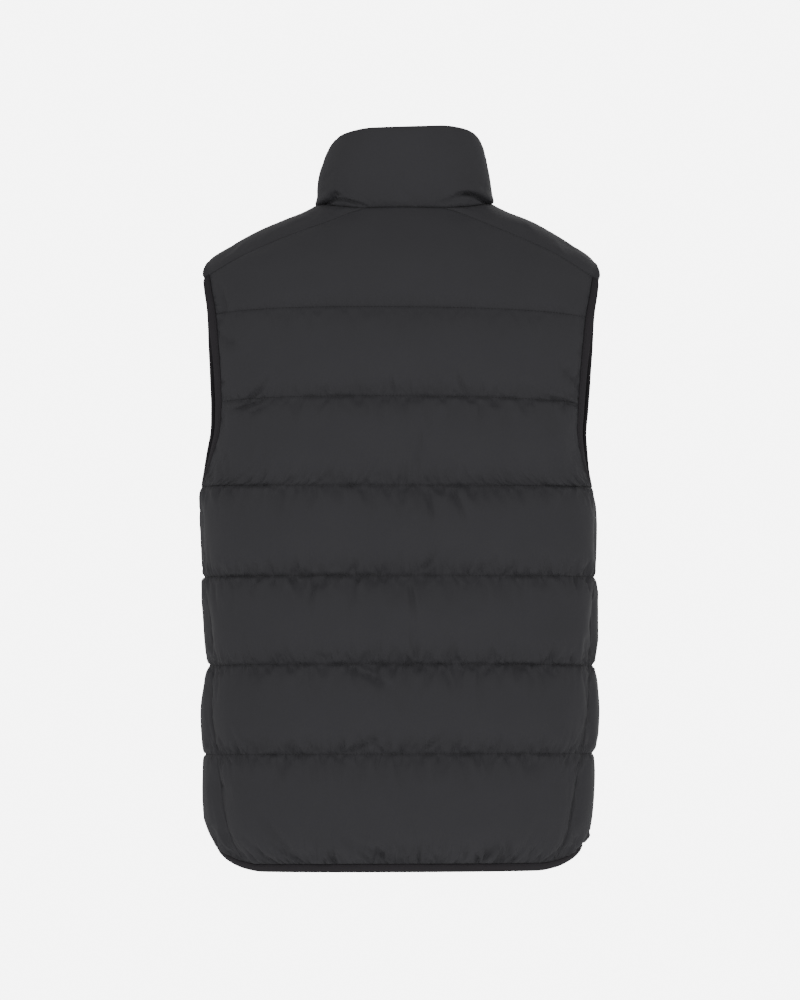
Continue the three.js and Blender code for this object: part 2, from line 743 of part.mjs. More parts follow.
// Pull tab: its eye passes under the bridge, and it hangs straight down the zip
function pullGeometry() {
  const { halfWidth, length, thickness, eyeHalfWidth, bar, eyeEnd } = pullSize;
  const corner = 2;
  const shape = new THREE.Shape();
  shape.moveTo(-halfWidth, bar);
  shape.lineTo(halfWidth, bar);
  shape.lineTo(halfWidth, corner - length);
  shape.quadraticCurveTo(halfWidth, -length, halfWidth - corner, -length);
  shape.lineTo(corner - halfWidth, -length);
  shape.quadraticCurveTo(-halfWidth, -length, -halfWidth, corner - length);
  shape.closePath();
  const eye = new THREE.Path();
  eye.moveTo(-eyeHalfWidth, -bar);
  eye.lineTo(-eyeHalfWidth, -eyeEnd);
  eye.lineTo(eyeHalfWidth, -eyeEnd);
  eye.lineTo(eyeHalfWidth, -bar);
  eye.closePath();
  shape.holes.push(eye);
  const settings = { depth: thickness, bevelEnabled: false, curveSegments: 4 };
  const geometry = new THREE.ExtrudeGeometry(shape, settings);
  geometry.translate(0, 0, -thickness / 2).rotateX(Math.PI / 2);
  geometry.translate(0, sliderSize.raised + bridgeSize.gap / 2, 0);
  return standOnZip(geometry, sliderHeight);
}

// Finishes
const shellCloth = new THREE.MeshStandardMaterial({ color: 0x373739, roughness: 0.62, metalness: 0 });
const bindingCloth = new THREE.MeshStandardMaterial({ color: 0x2c2a2d, roughness: 0.8, metalness: 0 });
const zipCloth = new THREE.MeshStandardMaterial({ color: 0x29292b, roughness: 0.85, metalness: 0 });
const zipTeeth = new THREE.MeshStandardMaterial({ color: 0x222224, roughness: 0.45, metalness: 0 });
const zipMetal = new THREE.MeshStandardMaterial({ color: 0x3a3a3d, roughness: 0.35, metalness: 0.8 });

const vest = new THREE.Group();

function addPiece(name, geometry, material) {
  const mesh = new THREE.Mesh(geometry, material);
  mesh.name = name;
  vest.add(mesh);
}

addPiece('back_panel', wallGeometry(backPanelPlaces(), false), shellCloth);
addPiece('front_panel_right', wallGeometry(frontPanelPlaces(1), false), shellCloth);
addPiece('front_panel_left', wallGeometry(frontPanelPlaces(-1), true), shellCloth);
addPiece('yoke_right', wallGeometry(yokePlaces(), false), shellCloth);
addPiece('yoke_left', wallGeometry(yokePlaces(), true), shellCloth);
addPiece('collar', wallGeometry(collarPlaces(), false), shellCloth);
addPiece('armhole_binding_right', armholeBindingGeometry(false), bindingCloth);
addPiece('armhole_binding_left', armholeBindingGeometry(true), bindingCloth);
addPiece('hem_binding', hemBindingGeometry(), bindingCloth);
addPiece('zip_tape_right', tapeGeometry(1), zipCloth);
addPiece('zip_tape_left', tapeGeometry(-1), zipCloth);
addPiece('zip_chain', chainGeometry(), zipTeeth);
addPiece('zip_box', zipBoxGeometry(), zipMetal);
addPiece('zip_stop_right', topStopGeometry(1), zipMetal);
addPiece('zip_stop_left', topStopGeometry(-1), zipMetal);
addPiece('zip_slider', sliderGeometry(), zipMetal);
addPiece('zip_pull', pullGeometry(), zipMetal);

export default vest;
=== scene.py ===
"""Looks of a quilted puffer vest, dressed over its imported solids.

The outer cloth of every padded panel starts as a fine grid on the panel's stitch surface. It is
pinned where it is sewn, cut a little too large for that surface, and blown up by its filling, so
that its puckers form by themselves along the stitch lines.
"""

import logging
import math
from abc import ABC, abstractmethod
from dataclasses import dataclass
from enum import Enum

import bmesh
import bpy
import numpy as np
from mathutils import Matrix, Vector


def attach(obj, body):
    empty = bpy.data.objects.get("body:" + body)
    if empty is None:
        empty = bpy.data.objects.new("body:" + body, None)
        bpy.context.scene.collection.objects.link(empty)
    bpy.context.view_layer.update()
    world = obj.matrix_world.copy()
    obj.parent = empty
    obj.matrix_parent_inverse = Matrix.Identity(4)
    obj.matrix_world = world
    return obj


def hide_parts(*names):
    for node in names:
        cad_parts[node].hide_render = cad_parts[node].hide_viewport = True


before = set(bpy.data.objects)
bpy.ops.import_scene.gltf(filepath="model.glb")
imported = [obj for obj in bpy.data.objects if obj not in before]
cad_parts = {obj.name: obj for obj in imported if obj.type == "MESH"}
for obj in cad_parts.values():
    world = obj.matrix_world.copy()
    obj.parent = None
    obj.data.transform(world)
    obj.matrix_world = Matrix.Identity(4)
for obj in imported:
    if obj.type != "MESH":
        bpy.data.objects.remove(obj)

log = logging.getLogger("vest")

MM = 0.001
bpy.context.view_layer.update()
# the point attribute of how gathered the cloth is; it sets the fine wrinkles' bump and their painted shade
GATHERED = "gathered"

Points = np.ndarray


class Side(Enum):
    """The two halves of the vest, as seen from behind."""

    LEFT = -1
    RIGHT = 1

    @property
    def word(self) -> str:
        """The side's name as it stands in a piece's name."""
        return self.name.lower()


class Facing(Enum):
    """Which way a panel faces: behind the wearer or in front."""

    BACK = -1
    FRONT = 1


@dataclass(frozen=True)
class Curve:
    """A smooth curve through a short table, with limited slopes so that it never overshoots."""

    keys: tuple[float, ...]
    values: tuple[float, ...]

    def __call__(self, at: Points | float) -> Points:
        """Reads the curve.

        Args:
            at: places along the key column.

        Returns:
            The values there, held constant beyond the ends.
        """
        order = np.argsort(self.keys)
        x = np.asarray(self.keys, float)[order]
        y = np.asarray(self.values, float)[order]
        rise = np.diff(y) / np.diff(x)
        slope = np.concatenate([rise[:1], np.zeros(len(x) - 2), rise[-1:]])
        before, after = rise[:-1], rise[1:]
        same = before * after > 0
        total = np.where(same, before + after, 1.0)
        slope[1:-1] = np.where(same, 2 * before * after / total, 0.0)
        at = np.clip(np.asarray(at, float), x[0], x[-1])
        span = np.clip(np.searchsorted(x, at, side="right") - 1, 0, len(x) - 2)
        width = x[span + 1] - x[span]
        s = (at - x[span]) / width
        start = (1 + 2 * s) * (1 - s) ** 2 * y[span]
        end = (3 - 2 * s) * s * s * y[span + 1]
        bend = s * (1 - s) * ((1 - s) * slope[span] - s * slope[span + 1]) * width
        return start + end + bend


def mix(a: Points | float, b: Points | float, share: Points | float) -> Points:
    """Blends from a to b by a share."""
    return a + (b - a) * share


def unit(vectors: Points) -> Points:
    """Scales vectors to length one."""
    return vectors / np.maximum(np.linalg.norm(vectors, axis=-1, keepdims=True), 1e-12)


SECTION_ROWS = (
    # height, half width, depth behind, depth in front
    (16, 80, 65, 24),
    (5, 88, 68, 32),
    (0, 92, 70, 36),
    (-8, 105, 73, 42),
    (-16, 124.5, 77, 49),
    (-25, 144, 82, 55),
    (-35, 162.5, 87, 62),
    (-45, 179, 92, 69),
    (-55, 195, 96, 75),
    (-65, 205, 99, 80),
    (-75, 208.5, 102, 86),
    (-97, 213, 108, 97),
    (-139, 215, 115, 110),
    (-181, 212, 118, 118),
    (-212, 208, 119, 121),
    (-243, 204, 119, 123),
    (-270, 204, 118, 124),
    (-306, 204, 117, 124),
    (-350, 203, 116, 124),
    (-390, 203.5, 115, 124),
    (-437, 199.5, 115, 123),
    (-480, 200, 116, 122),
    (-531, 203, 118, 121),
    (-571, 202, 119, 120),
    (-604, 199.5, 119, 119),
    (-640, 196.5, 117, 116),
    (-661, 193, 114, 112),
    (-675, 187, 110, 108),
    (-700, 172, 103, 103),
)
NECK_ROWS = (
    # turn from the centre back, height of the neck seam, height of the collar's top edge
    (0, 0, 84.5),
    (21, -0.6, 84.4),
    (45, 1, 81),
    (70, 3, 73),
    (90, 3.5, 63),
    (110, 2, 51),
    (130, -3, 43),
    (150, -18, 37),
    (160, -35, 34),
    (170, -53, 31),
    (180, -61, 30),
)
YOKE_SEAM_ROWS = (
    # distance from the middle, height
    (40, -0.6),
    (55, -5.5),
    (70, -11.5),
    (95, -21),
    (111, -27),
    (134, -36.5),
    (159, -47.8),
    (175, -56.5),
    (188, -64.5),
    (200, -72),
)
QUILT_ROWS = (
    # height at the middle, sag towards the sides
    (-104.5, 9),
    (-197.5, 7),
    (-290.5, 2.5),
    (-384.5, 2.5),
    (-477, 2.5),
    (-571, 1),
)
SIDE_SEAM_ROWS = (
    # height, turn from the centre back
    (-293, 89.3),
    (-345, 88),
    (-390, 85),
    (-437, 81.5),
    (-484, 78),
    (-520, 74),
    (-571, 68.5),
    (-604, 66),
    (-640, 64),
    (-668, 61.5),
    (-700, 59),
)
HEM_ROWS = (
    # turn from the centre back, height of the lower edge
    (0, -695),
    (50, -695),
    (62, -692),
    (76, -684),
    (90, -676),
    (110, -671),
    (140, -669),
    (180, -669),
)
HANG_ROWS = (
    # height, sideways shift, rise for each millimetre of x
    (84, 6.6, 0.03),
    (60, 5, 0.025),
    (30, 3.9, 0.005),
    (0, 4.5, 0),
    (-14, 4.6, 0),
    (-24, 2.6, 0),
    (-40, 1.2, 0),
    (-60, 0.8, -0.004),
    (-105, 0.5, -0.008),
    (-200, -0.4, -0.005),
    (-280, -4, -0.002),
    (-330, -2, 0),
    (-400, -0.8, 0),
    (-460, 1, 0),
    (-520, -0.3, 0.001),
    (-635, -2.3, 0.004),
    (-675, -0.5, 0.004),
)


def column(rows: tuple, key: int, value: int) -> Curve:
    """Makes a curve from two columns of a table."""
    return Curve(tuple(r[key] for r in rows), tuple(r[value] for r in rows))


@dataclass(frozen=True)
class VestForm:
    """The stitch surface of the vest in millimetres: turn is in degrees from the centre back."""

    power: float = 2.4
    wall: float = 3.0
    armhole_top: float = -59.0
    armhole_bottom: float = -293.0
    armhole_reach: float = 64.0
    armhole_set_back: float = -3.0
    armhole_power: float = 2.2
    back_yoke_end: float = -72.0
    front_yoke_end: float = -85.0
    front_yoke_turn: float = 140.0
    zip_half_slot: float = 5.0
    binding_width: float = 9.0
    side: Curve = column(SECTION_ROWS, 0, 1)
    behind: Curve = column(SECTION_ROWS, 0, 2)
    before: Curve = column(SECTION_ROWS, 0, 3)
    neck: Curve = column(NECK_ROWS, 0, 1)
    collar_top: Curve = column(NECK_ROWS, 0, 2)
    side_seam: Curve = column(SIDE_SEAM_ROWS, 0, 1)
    hem: Curve = column(HEM_ROWS, 0, 1)
    shift: Curve = column(HANG_ROWS, 0, 1)
    tilt: Curve = column(HANG_ROWS, 0, 2)
    yoke_seam: Curve = column(YOKE_SEAM_ROWS, 0, 1)
    collar_taper: tuple[float, float, float] = (0.845, 0.94, 0.9)

    def point(self, turn: Points | float, z: Points | float) -> Points:
        """Finds points of the stitch surface.

        Args:
            turn: degrees from the centre back, negative on the left.
            z: heights.

        Returns:
            An array of points, with x, y and z last.
        """
        turn, z = np.broadcast_arrays(np.asarray(turn, float), np.asarray(z, float))
        sine, cosine = np.sin(np.radians(turn)), np.cos(np.radians(turn))
        depth = np.where(np.abs(turn) <= 90, self.behind(z), self.before(z))
        x = np.sign(sine) * self.side(z) * np.abs(sine) ** (2 / self.power)
        y = -np.sign(cosine) * depth * np.abs(cosine) ** (2 / self.power)
        return np.stack([x, y, z], axis=-1)

    def normal(self, turn: Points, z: Points) -> Points:
        """Finds the outward directions of the stitch surface.

        Args:
            turn: turns round the body, in degrees.
            z: heights, in millimetres.

        Returns:
            Unit vectors that point away from the body.
        """
        step = 1.5
        across = self.point(turn + step, z) - self.point(turn - step, z)
        up = self.point(turn, z + step) - self.point(turn, z - step)
        return unit(np.cross(across, up))

    def turn_at_side(self, x: Points | float, z: Points | float) -> Points:
        """Finds the turn, behind the side, at which a section reaches out to x."""
        return np.degrees(np.arcsin(np.clip(x / self.side(z), 0, 1) ** (self.power / 2)))

    def turn_at_depth(self, y: Points, z: Points) -> Points:
        """Finds the turn at which a section is at depth y, negative behind the middle.

        Args:
            y: depths along Y, in millimetres.
            z: heights, in millimetres.

        Returns:
            The turns, in degrees.
        """
        depth = np.where(y < 0, self.behind(z), self.before(z))
        angle = np.degrees(np.arccos(np.clip(np.abs(y) / depth, 0, 1) ** (self.power / 2)))
        return np.where(y < 0, angle, 180 - angle)

    def armhole_span(self) -> tuple[float, float]:
        """The height of the armhole's middle, and half of how high it is."""
        return (self.armhole_top + self.armhole_bottom) / 2, (self.armhole_top - self.armhole_bottom) / 2

    def armhole_turn(self, z: Points | float, facing: Facing) -> Points:
        """Finds the armhole's cut edge at a height, on one of its two sides.

        Args:
            z: heights, in millimetres.
            facing: whether the edge is the back's or the front's.

        Returns:
            The edge's turns, in degrees.
        """
        z = np.asarray(z, float)
        middle, half = self.armhole_span()
        share = np.clip(np.abs(z - middle) / half, 0, 1)
        reach = self.armhole_reach * (1 - share**self.armhole_power) ** (1 / self.armhole_power)
        return self.turn_at_depth(self.armhole_set_back + facing.value * reach, z)

    def armhole_loop(self, angle: Points) -> tuple[Points, Points]:
        """Walks round the armhole's cut edge.

        Args:
            angle: radians from the top, negative behind.

        Returns:
            The turns and the heights.
        """
        middle, half = self.armhole_span()
        sine, cosine = np.sin(angle), np.cos(angle)
        z = middle + half * np.sign(cosine) * np.abs(cosine) ** (2 / self.armhole_power)
        reach = self.armhole_reach * np.sign(sine) * np.abs(sine) ** (2 / self.armhole_power)
        return self.turn_at_depth(self.armhole_set_back + reach, z), z

    def armhole_angle(self, z: float, facing: Facing) -> float:
        """Finds the angle of armhole_loop at a height of the upper half."""
        middle, half = self.armhole_span()
        return facing.value * math.acos(((z - middle) / half) ** (self.armhole_power / 2))

    def edge_turn(self, z: Points, facing: Facing) -> Points:
        """Finds a quilted panel's outer edge: the armhole, and the side seam below it."""
        above = self.armhole_turn(np.maximum(z, self.armhole_bottom), facing)
        return np.where(z > self.armhole_bottom, above, self.side_seam(z))

    def back_yoke(self, share: Points) -> tuple[Points, Points]:
        """Walks the yoke seam behind the shoulder.

        Args:
            share: from 0 at the neck to 1 at the armhole.

        Returns:
            The turns and the heights.
        """
        share = np.asarray(share, float)
        x = mix(YOKE_SEAM_ROWS[0][0], YOKE_SEAM_ROWS[-1][0], share)
        z = self.yoke_seam(x)
        turn = self.turn_at_side(x, z)
        last = self.armhole_turn(self.back_yoke_end, Facing.BACK)
        short = last - self.turn_at_side(YOKE_SEAM_ROWS[-1][0], self.back_yoke_end)
        return turn + short * np.clip((share - 0.95) / 0.05, 0, 1), z

    def front_yoke(self, share: Points) -> tuple[Points, Points]:
        """Walks the yoke seam in front of the shoulder, from the neck to the armhole.

        Args:
            share: shares of the way, 0 at the neck and 1 at the armhole.

        Returns:
            The seam's turns and heights.
        """
        share = np.asarray(share, float)
        end = self.armhole_turn(self.front_yoke_end, Facing.FRONT)
        start_height = self.neck(self.front_yoke_turn)
        turn = mix(self.front_yoke_turn, end, share)
        return turn, mix(start_height, self.front_yoke_end, share**0.92)

    def yoke_tip(self, share: Points) -> tuple[Points, Points]:
        """Walks over the shoulder tip, from the back yoke seam to the front one.

        Args:
            share: shares of the way, 0 at the back seam and 1 at the front one.

        Returns:
            The edge's turns and heights.
        """
        start = self.armhole_angle(self.back_yoke_end, Facing.BACK)
        end = self.armhole_angle(self.front_yoke_end, Facing.FRONT)
        return self.armhole_loop(mix(start, end, np.asarray(share, float)))

    def neck_corner(self) -> float:
        """The turn at which the back yoke seam meets the neck."""
        return float(self.turn_at_side(*YOKE_SEAM_ROWS[0]))

    def zip_turn(self, z: Points | float) -> Points:
        """The turn of the front panels' zip edge at a height."""
        return 180 - self.turn_at_side(self.zip_half_slot, z)

    def back_top(self) -> tuple[Points, Points]:
        """The back panel's top edge: the neck and then the yoke seam, as turns and heights.

        Returns:
            Turns from the middle outwards, and the height at each.
        """
        neck = np.linspace(0, self.neck_corner(), 12)
        turn, z = self.back_yoke(np.linspace(0, 1, 81)[1:])
        return np.concatenate([neck, turn]), np.concatenate([self.neck(neck), z])

    def front_top(self) -> tuple[Points, Points]:
        """A front panel's top edge, from the zip along the neck and the yoke seam.

        Returns:
            Turns from the zip outwards, and the height at each.
        """
        neck = np.linspace(float(self.zip_turn(self.neck(180.0))), self.front_yoke_turn, 40)
        turn, z = self.front_yoke(np.linspace(0, 1, 60)[1:])
        return np.concatenate([neck, turn]), np.concatenate([self.neck(neck), z])

    def collar(self, turn: Points, share: Points) -> Points:
        """Finds points of the collar's stitch surface.

        Args:
            turn: places round the neck.
            share: from 0 at the neck seam to 1 at the top edge.

        Returns:
            An array of points.
        """
        seam = self.point(turn, self.neck(np.abs(turn)))
        taper = np.where(np.abs(turn) < 90, self.collar_taper[1], self.collar_taper[2])
        slot = self.zip_half_slot
        beyond = np.maximum(np.abs(seam[..., 0]) - slot, 0) * self.collar_taper[0]
        x = np.sign(seam[..., 0]) * (np.minimum(np.abs(seam[..., 0]), slot) + beyond)
        upper = np.stack([x, seam[..., 1] * taper, self.collar_top(np.abs(turn))], axis=-1)
        return mix(seam, upper, np.asarray(share)[..., None])

    def beside_zip(self, x: float) -> tuple[Points, Points]:
        """Lists points up the closed zip, from the hem to the top of the collar.

        Args:
            x: how far from the middle; nearer than the panels' edges the points lie level with them.

        Returns:
            The points and their outward ways.
        """
        reach = max(x, self.zip_half_slot)
        lowest = float(self.neck(180.0))
        z = np.linspace(float(self.hem(180.0)) + self.binding_width, lowest, 240)
        turn = 180 - self.turn_at_side(reach, z)
        share = np.linspace(0, 1, 40)[1:]
        narrowing = 1 - (1 - self.collar_taper[0]) * share
        at_seam = self.zip_half_slot + (reach - self.zip_half_slot) / narrowing
        collar = self.collar(180 - self.turn_at_side(at_seam, lowest), share)
        up = unit(collar[-1] - collar[0])
        points = np.concatenate([self.point(turn, z), collar])
        ways = np.concatenate([self.normal(turn, z), np.tile((0, up[2], -up[1]), (len(share), 1))])
        points[:, 0] = x
        ways[:, 0] = 0
        return points, unit(ways)

    def hang(self, points: Points) -> Points:
        """Leans points as the whole vest hangs a little out of true, still in millimetres.

        Args:
            points: points of the upright form, in millimetres.

        Returns:
            The same points, leaned.
        """
        moved = points.copy()
        moved[..., 0] = points[..., 0] + self.shift(points[..., 2])
        moved[..., 2] = points[..., 2] + self.tilt(points[..., 2]) * points[..., 0]
        return moved


FORM = VestForm()


@dataclass
class Grid:
    """A panel laid out as rows and columns: where each point is, its outward way and its loft.

    sewn marks what the stitches hold, slack is the share of spare cloth, and most is how far, in
    millimetres, the filling may move each point.
    """

    point: Points
    normal: Points
    loft: Points
    sewn: Points
    slack: Points
    most: Points

    def mirrored(self) -> "Grid":
        """The same panel on the other side of the vest.

        Returns:
            A grid whose faces still look outwards.
        """
        flip = np.array([-1.0, 1.0, 1.0])
        turned = self.columns_reversed()
        return Grid(turned.point * flip, turned.normal * flip, *turned.parts()[2:])

    def parts(self) -> tuple[Points, ...]:
        """The grid's arrays in order."""
        return self.point, self.normal, self.loft, self.sewn, self.slack, self.most

    def columns_reversed(self) -> "Grid":
        """The same panel with its columns in the other order."""
        return Grid(*(part[:, ::-1] for part in self.parts()))


def resampled(values: Points, at: Points, wanted: Points) -> Points:
    """Reads a smooth curve through rows of values.

    Args:
        values: an array whose first axis is read along.
        at: where its rows lie, rising.
        wanted: where rows are wanted.

    Returns:
        The rows there.
    """
    slope = np.gradient(values, at, axis=0)
    span = np.clip(np.searchsorted(at, wanted, side="right") - 1, 0, len(at) - 2)
    width = (at[span + 1] - at[span]).reshape((-1,) + (1,) * (values.ndim - 1))
    s = ((wanted - at[span]) / (at[span + 1] - at[span])).reshape(width.shape)
    start = (1 + 2 * s) * (1 - s) ** 2 * values[span] + s * (1 - s) ** 2 * width * slope[span]
    return start + (3 - 2 * s) * s * s * values[span + 1] - s * s * (1 - s) * width * slope[span + 1]


def ripples(shape: tuple[int, int], across: float, down: float, seed: int) -> Points:
    """Makes soft uneven waves over a grid.

    Args:
        shape: rows and columns.
        across: softness along a row, in columns.
        down: softness along a column, in rows.
        seed: which waves.

    Returns:
        An array with a mean of 0 and a spread of 1.
    """
    noise = np.random.default_rng(seed).standard_normal(shape)
    row_wave = np.fft.fftfreq(shape[0])[:, None] * down
    column_wave = np.fft.fftfreq(shape[1])[None, :] * across
    soft = np.fft.ifft2(np.fft.fft2(noise) * np.exp(-2 * math.pi**2 * (row_wave**2 + column_wave**2))).real
    return (soft - soft.mean()) / soft.std()


@dataclass(frozen=True)
class Crease:
    """A soft trough seen from behind, along points of (x, z) in millimetres.

    depth is how far it goes in, width how wide it is, lip how far the cloth beside it, on the
    upper side, stands out, and droop how far that cloth hangs down over the trough.
    """

    path: tuple[tuple[float, float], ...]
    depth: float
    width: float
    lip: float = 0.0
    droop: float = 0.0

    def fold(self, outer: Points, normal: Points) -> Points:
        """Creases the cloth.

        Args:
            outer: points that already hang in place.
            normal: the outward directions there.

        Returns:
            The creased points.
        """
        trough, ridge = self.parts(outer)
        down = np.array([0, 0, -self.droop])
        return outer + normal * (trough + self.lip * ridge)[..., None] + down * ridge[..., None]

    def parts(self, points: Points) -> tuple[Points, Points]:
        """Finds the trough's offset and the lip's strength at points that already hang in place.

        Args:
            points: points of the cloth, in millimetres.

        Returns:
            How far the trough sinks each point, and how strong the lip is there.
        """
        at = points[..., [0, 2]]
        nearest = np.full(at.shape[:-1], np.inf)
        above = np.zeros(at.shape[:-1])
        fade = np.zeros(at.shape[:-1])
        knots = np.asarray(self.path, float)
        total = len(knots) - 1
        for number, (a, b) in enumerate(zip(knots[:-1], knots[1:])):
            way = b - a
            share = np.clip(((at - a) @ way) / (way @ way), 0, 1)
            gap = at - (a + share[..., None] * way)
            distance = np.linalg.norm(gap, axis=-1)
            closer = distance < nearest
            nearest = np.where(closer, distance, nearest)
            above = np.where(closer, gap[..., 1], above)
            along = (number + share) / total
            fade = np.where(closer, np.sin(math.pi * np.clip(along, 0.08, 0.92)) ** 0.6, fade)
        trough = -self.depth * np.exp(-((nearest / self.width) ** 2))
        beside = (nearest - 1.6 * self.width) / self.width
        ridge = np.exp(-(beside**2)) * (above > 0)
        fade = np.where(points[..., 1] < 0, fade, 0.0)
        return trough * fade, ridge * fade


def kept_above(outer: Points, grid: Grid, least: float) -> Points:
    """Pushes points out again that lie too far inside the stitch surface.

    Args:
        outer: points that already hang in place.
        grid: their layout.
        least: the lowest height above the stitch surface, in millimetres.

    Returns:
        The points, with those at the sewn edges as they were.
    """
    deepest = FORM.hang(grid.point + grid.normal * least)
    over = np.sum((outer - deepest) * grid.normal, axis=-1)
    return outer + grid.normal * (np.maximum(-over, 0) * ~grid.sewn)[..., None]


@dataclass(frozen=True)
class Gathers:
    """Small uneven folds that run out from a line of stitches.

    share scales their depth, pitch is about how far apart they are, reach is their least and
    greatest length, slant is how much their directions differ, and widths is their least and
    greatest width.
    """

    share: float = 1.0
    pitch: float = 4.6
    reach: tuple[float, float] = (5.0, 17.0)
    slant: float = 0.55
    widths: tuple[float, float] = (1.3, 2.6)

    def folds(self, along: Points, from_line: Points, strength: float, chance: np.random.Generator) -> Points:
        """Draws the folds.

        Args:
            along: how far along the line each point is.
            from_line: how far off the line each point is.
            strength: about how deep the folds are.
            chance: draws their places and sizes.

        Returns:
            How far each point is moved outwards, which is mostly inwards.
        """
        along, from_line = np.broadcast_arrays(along, from_line)
        first, last = along.min(), along.max()
        total = np.zeros(along.shape)
        for _ in range(round((last - first) / self.pitch)):
            start = chance.uniform(first, last)
            leaning = chance.normal(0, self.slant)
            length = chance.uniform(*self.reach)
            width = chance.uniform(*self.widths)
            depth = strength * chance.uniform(0.2, 1.2)
            side = chance.choice((-1.5, 1.5))
            across = (along - start - leaning * from_line) / (width + 0.05 * from_line)
            fade = np.minimum(from_line / 1.5, 1) * np.exp(-((from_line / length) ** 2) * 1.6)
            total -= depth * (np.exp(-(across**2)) - 0.5 * np.exp(-((across - side) ** 2))) * fade
        return self.share * total


LINE_GATHERS = (Gathers(), Gathers(0.8, 13, (12, 24), 0.7, (1.8, 3.0)))
HEM_GATHERS = Gathers(2.6, 10, (18, 38), 0.6, (2.0, 3.4))
CORNER_GATHERS = Gathers(0.9, 5, (10, 26), 0.12)
END_GATHERS = Gathers(1.0, 6, (5, 16), 0.4, (1.6, 3.0))
COLLAR_GATHERS = Gathers(0.7, 6, (5, 15))


def walked(path: Points) -> Points:
    """How far along a path of points each of them is."""
    return np.concatenate([[0], np.cumsum(np.linalg.norm(np.diff(path, axis=0), axis=1))])


def border(shape: tuple[int, ...]) -> Points:
    """Marks the outermost points of a grid.

    Args:
        shape: the grid's rows and columns.

    Returns:
        True on the border and False inside it.
    """
    marked = np.zeros(shape, bool)
    marked[[0, -1]] = marked[:, [0, -1]] = True
    return marked


def even_shares(path: Points, count: int) -> Points:
    """Finds shares along a path of points that are evenly spaced by length.

    Args:
        path: points at even steps of the share.
        count: how many shares are wanted.

    Returns:
        The shares, from 0 to 1.
    """
    along = walked(path)
    return np.interp(np.linspace(0, along[-1], count), along, np.linspace(0, 1, len(path)))


def new_object(name: str, vertices: Points, faces: list, metres: bool = False) -> bpy.types.Object:
    """Makes a smooth-shaded mesh object.

    Args:
        name: the piece's name.
        vertices: points in millimetres, or in metres.
        faces: lists of vertex numbers.
        metres: whether the points are in metres already.

    Returns:
        The new object, linked to the scene.
    """
    mesh = bpy.data.meshes.new(name)
    places = np.asarray(vertices, float) * (1 if metres else MM)
    mesh.from_pydata(places.tolist(), [], faces)
    mesh.update()
    mesh.shade_smooth()
    made = bpy.data.objects.new(name, mesh)
    bpy.context.scene.collection.objects.link(made)
    return made


def grid_faces(rows: int, columns: int, start: int = 0) -> Points:
    """The quads of a grid of points, as an array of vertex numbers.

    Args:
        rows: how many rows of points there are.
        columns: how many points each row has.
        start: the number of the first point.

    Returns:
        Four vertex numbers for each face.
    """
    numbers = np.arange(rows * columns).reshape(rows, columns) + start
    a, b = numbers[:-1, :-1], numbers[:-1, 1:]
    c, d = numbers[1:, 1:], numbers[1:, :-1]
    return np.stack([a, d, c, b], axis=-1).reshape(-1, 4)


def padded_wall(name: str, outer: Points, inner: Points) -> bpy.types.Object:
    """Joins an outer and an inner grid of points round their border.

    Args:
        name: the piece's name.
        outer: rows of points that face outwards.
        inner: the same rows on the plain inner face.

    Returns:
        One closed wall, with the cloth's own lengths in metres as its UV map.
    """
    rows, columns = outer.shape[:2]
    count = rows * columns
    faces = grid_faces(rows, columns).tolist()
    faces += grid_faces(rows, columns, count)[:, ::-1].tolist()
    top = np.arange(columns)
    left = np.arange(rows) * columns
    round_it = [top[:-1], left[:-1] + columns - 1, top[:0:-1] + (rows - 1) * columns, left[:0:-1]]
    here = np.concatenate(round_it)
    after = np.roll(here, -1)
    faces += np.stack([here, after, after + count, here + count], axis=-1).tolist()
    made = new_object(name, np.concatenate([outer.reshape(-1, 3), inner.reshape(-1, 3)]), faces)
    across, down = walked(outer[rows // 2]), walked(outer[:, columns // 2])
    flat = np.stack(np.meshgrid(across, -down), axis=-1).reshape(-1, 2) * MM
    lay_flat(made, np.concatenate([flat, flat]))
    return made


def lay_flat(made: bpy.types.Object, places: Points) -> None:
    """Gives a mesh its UV map from one pair of lengths for each vertex.

    Args:
        made: the mesh object.
        places: where each vertex lies on the flat cloth.
    """
    corners = np.empty(len(made.data.loops), int)
    made.data.loops.foreach_get("vertex_index", corners)
    made.data.uv_layers.new(name="cloth").data.foreach_set("uv", places[corners].ravel())


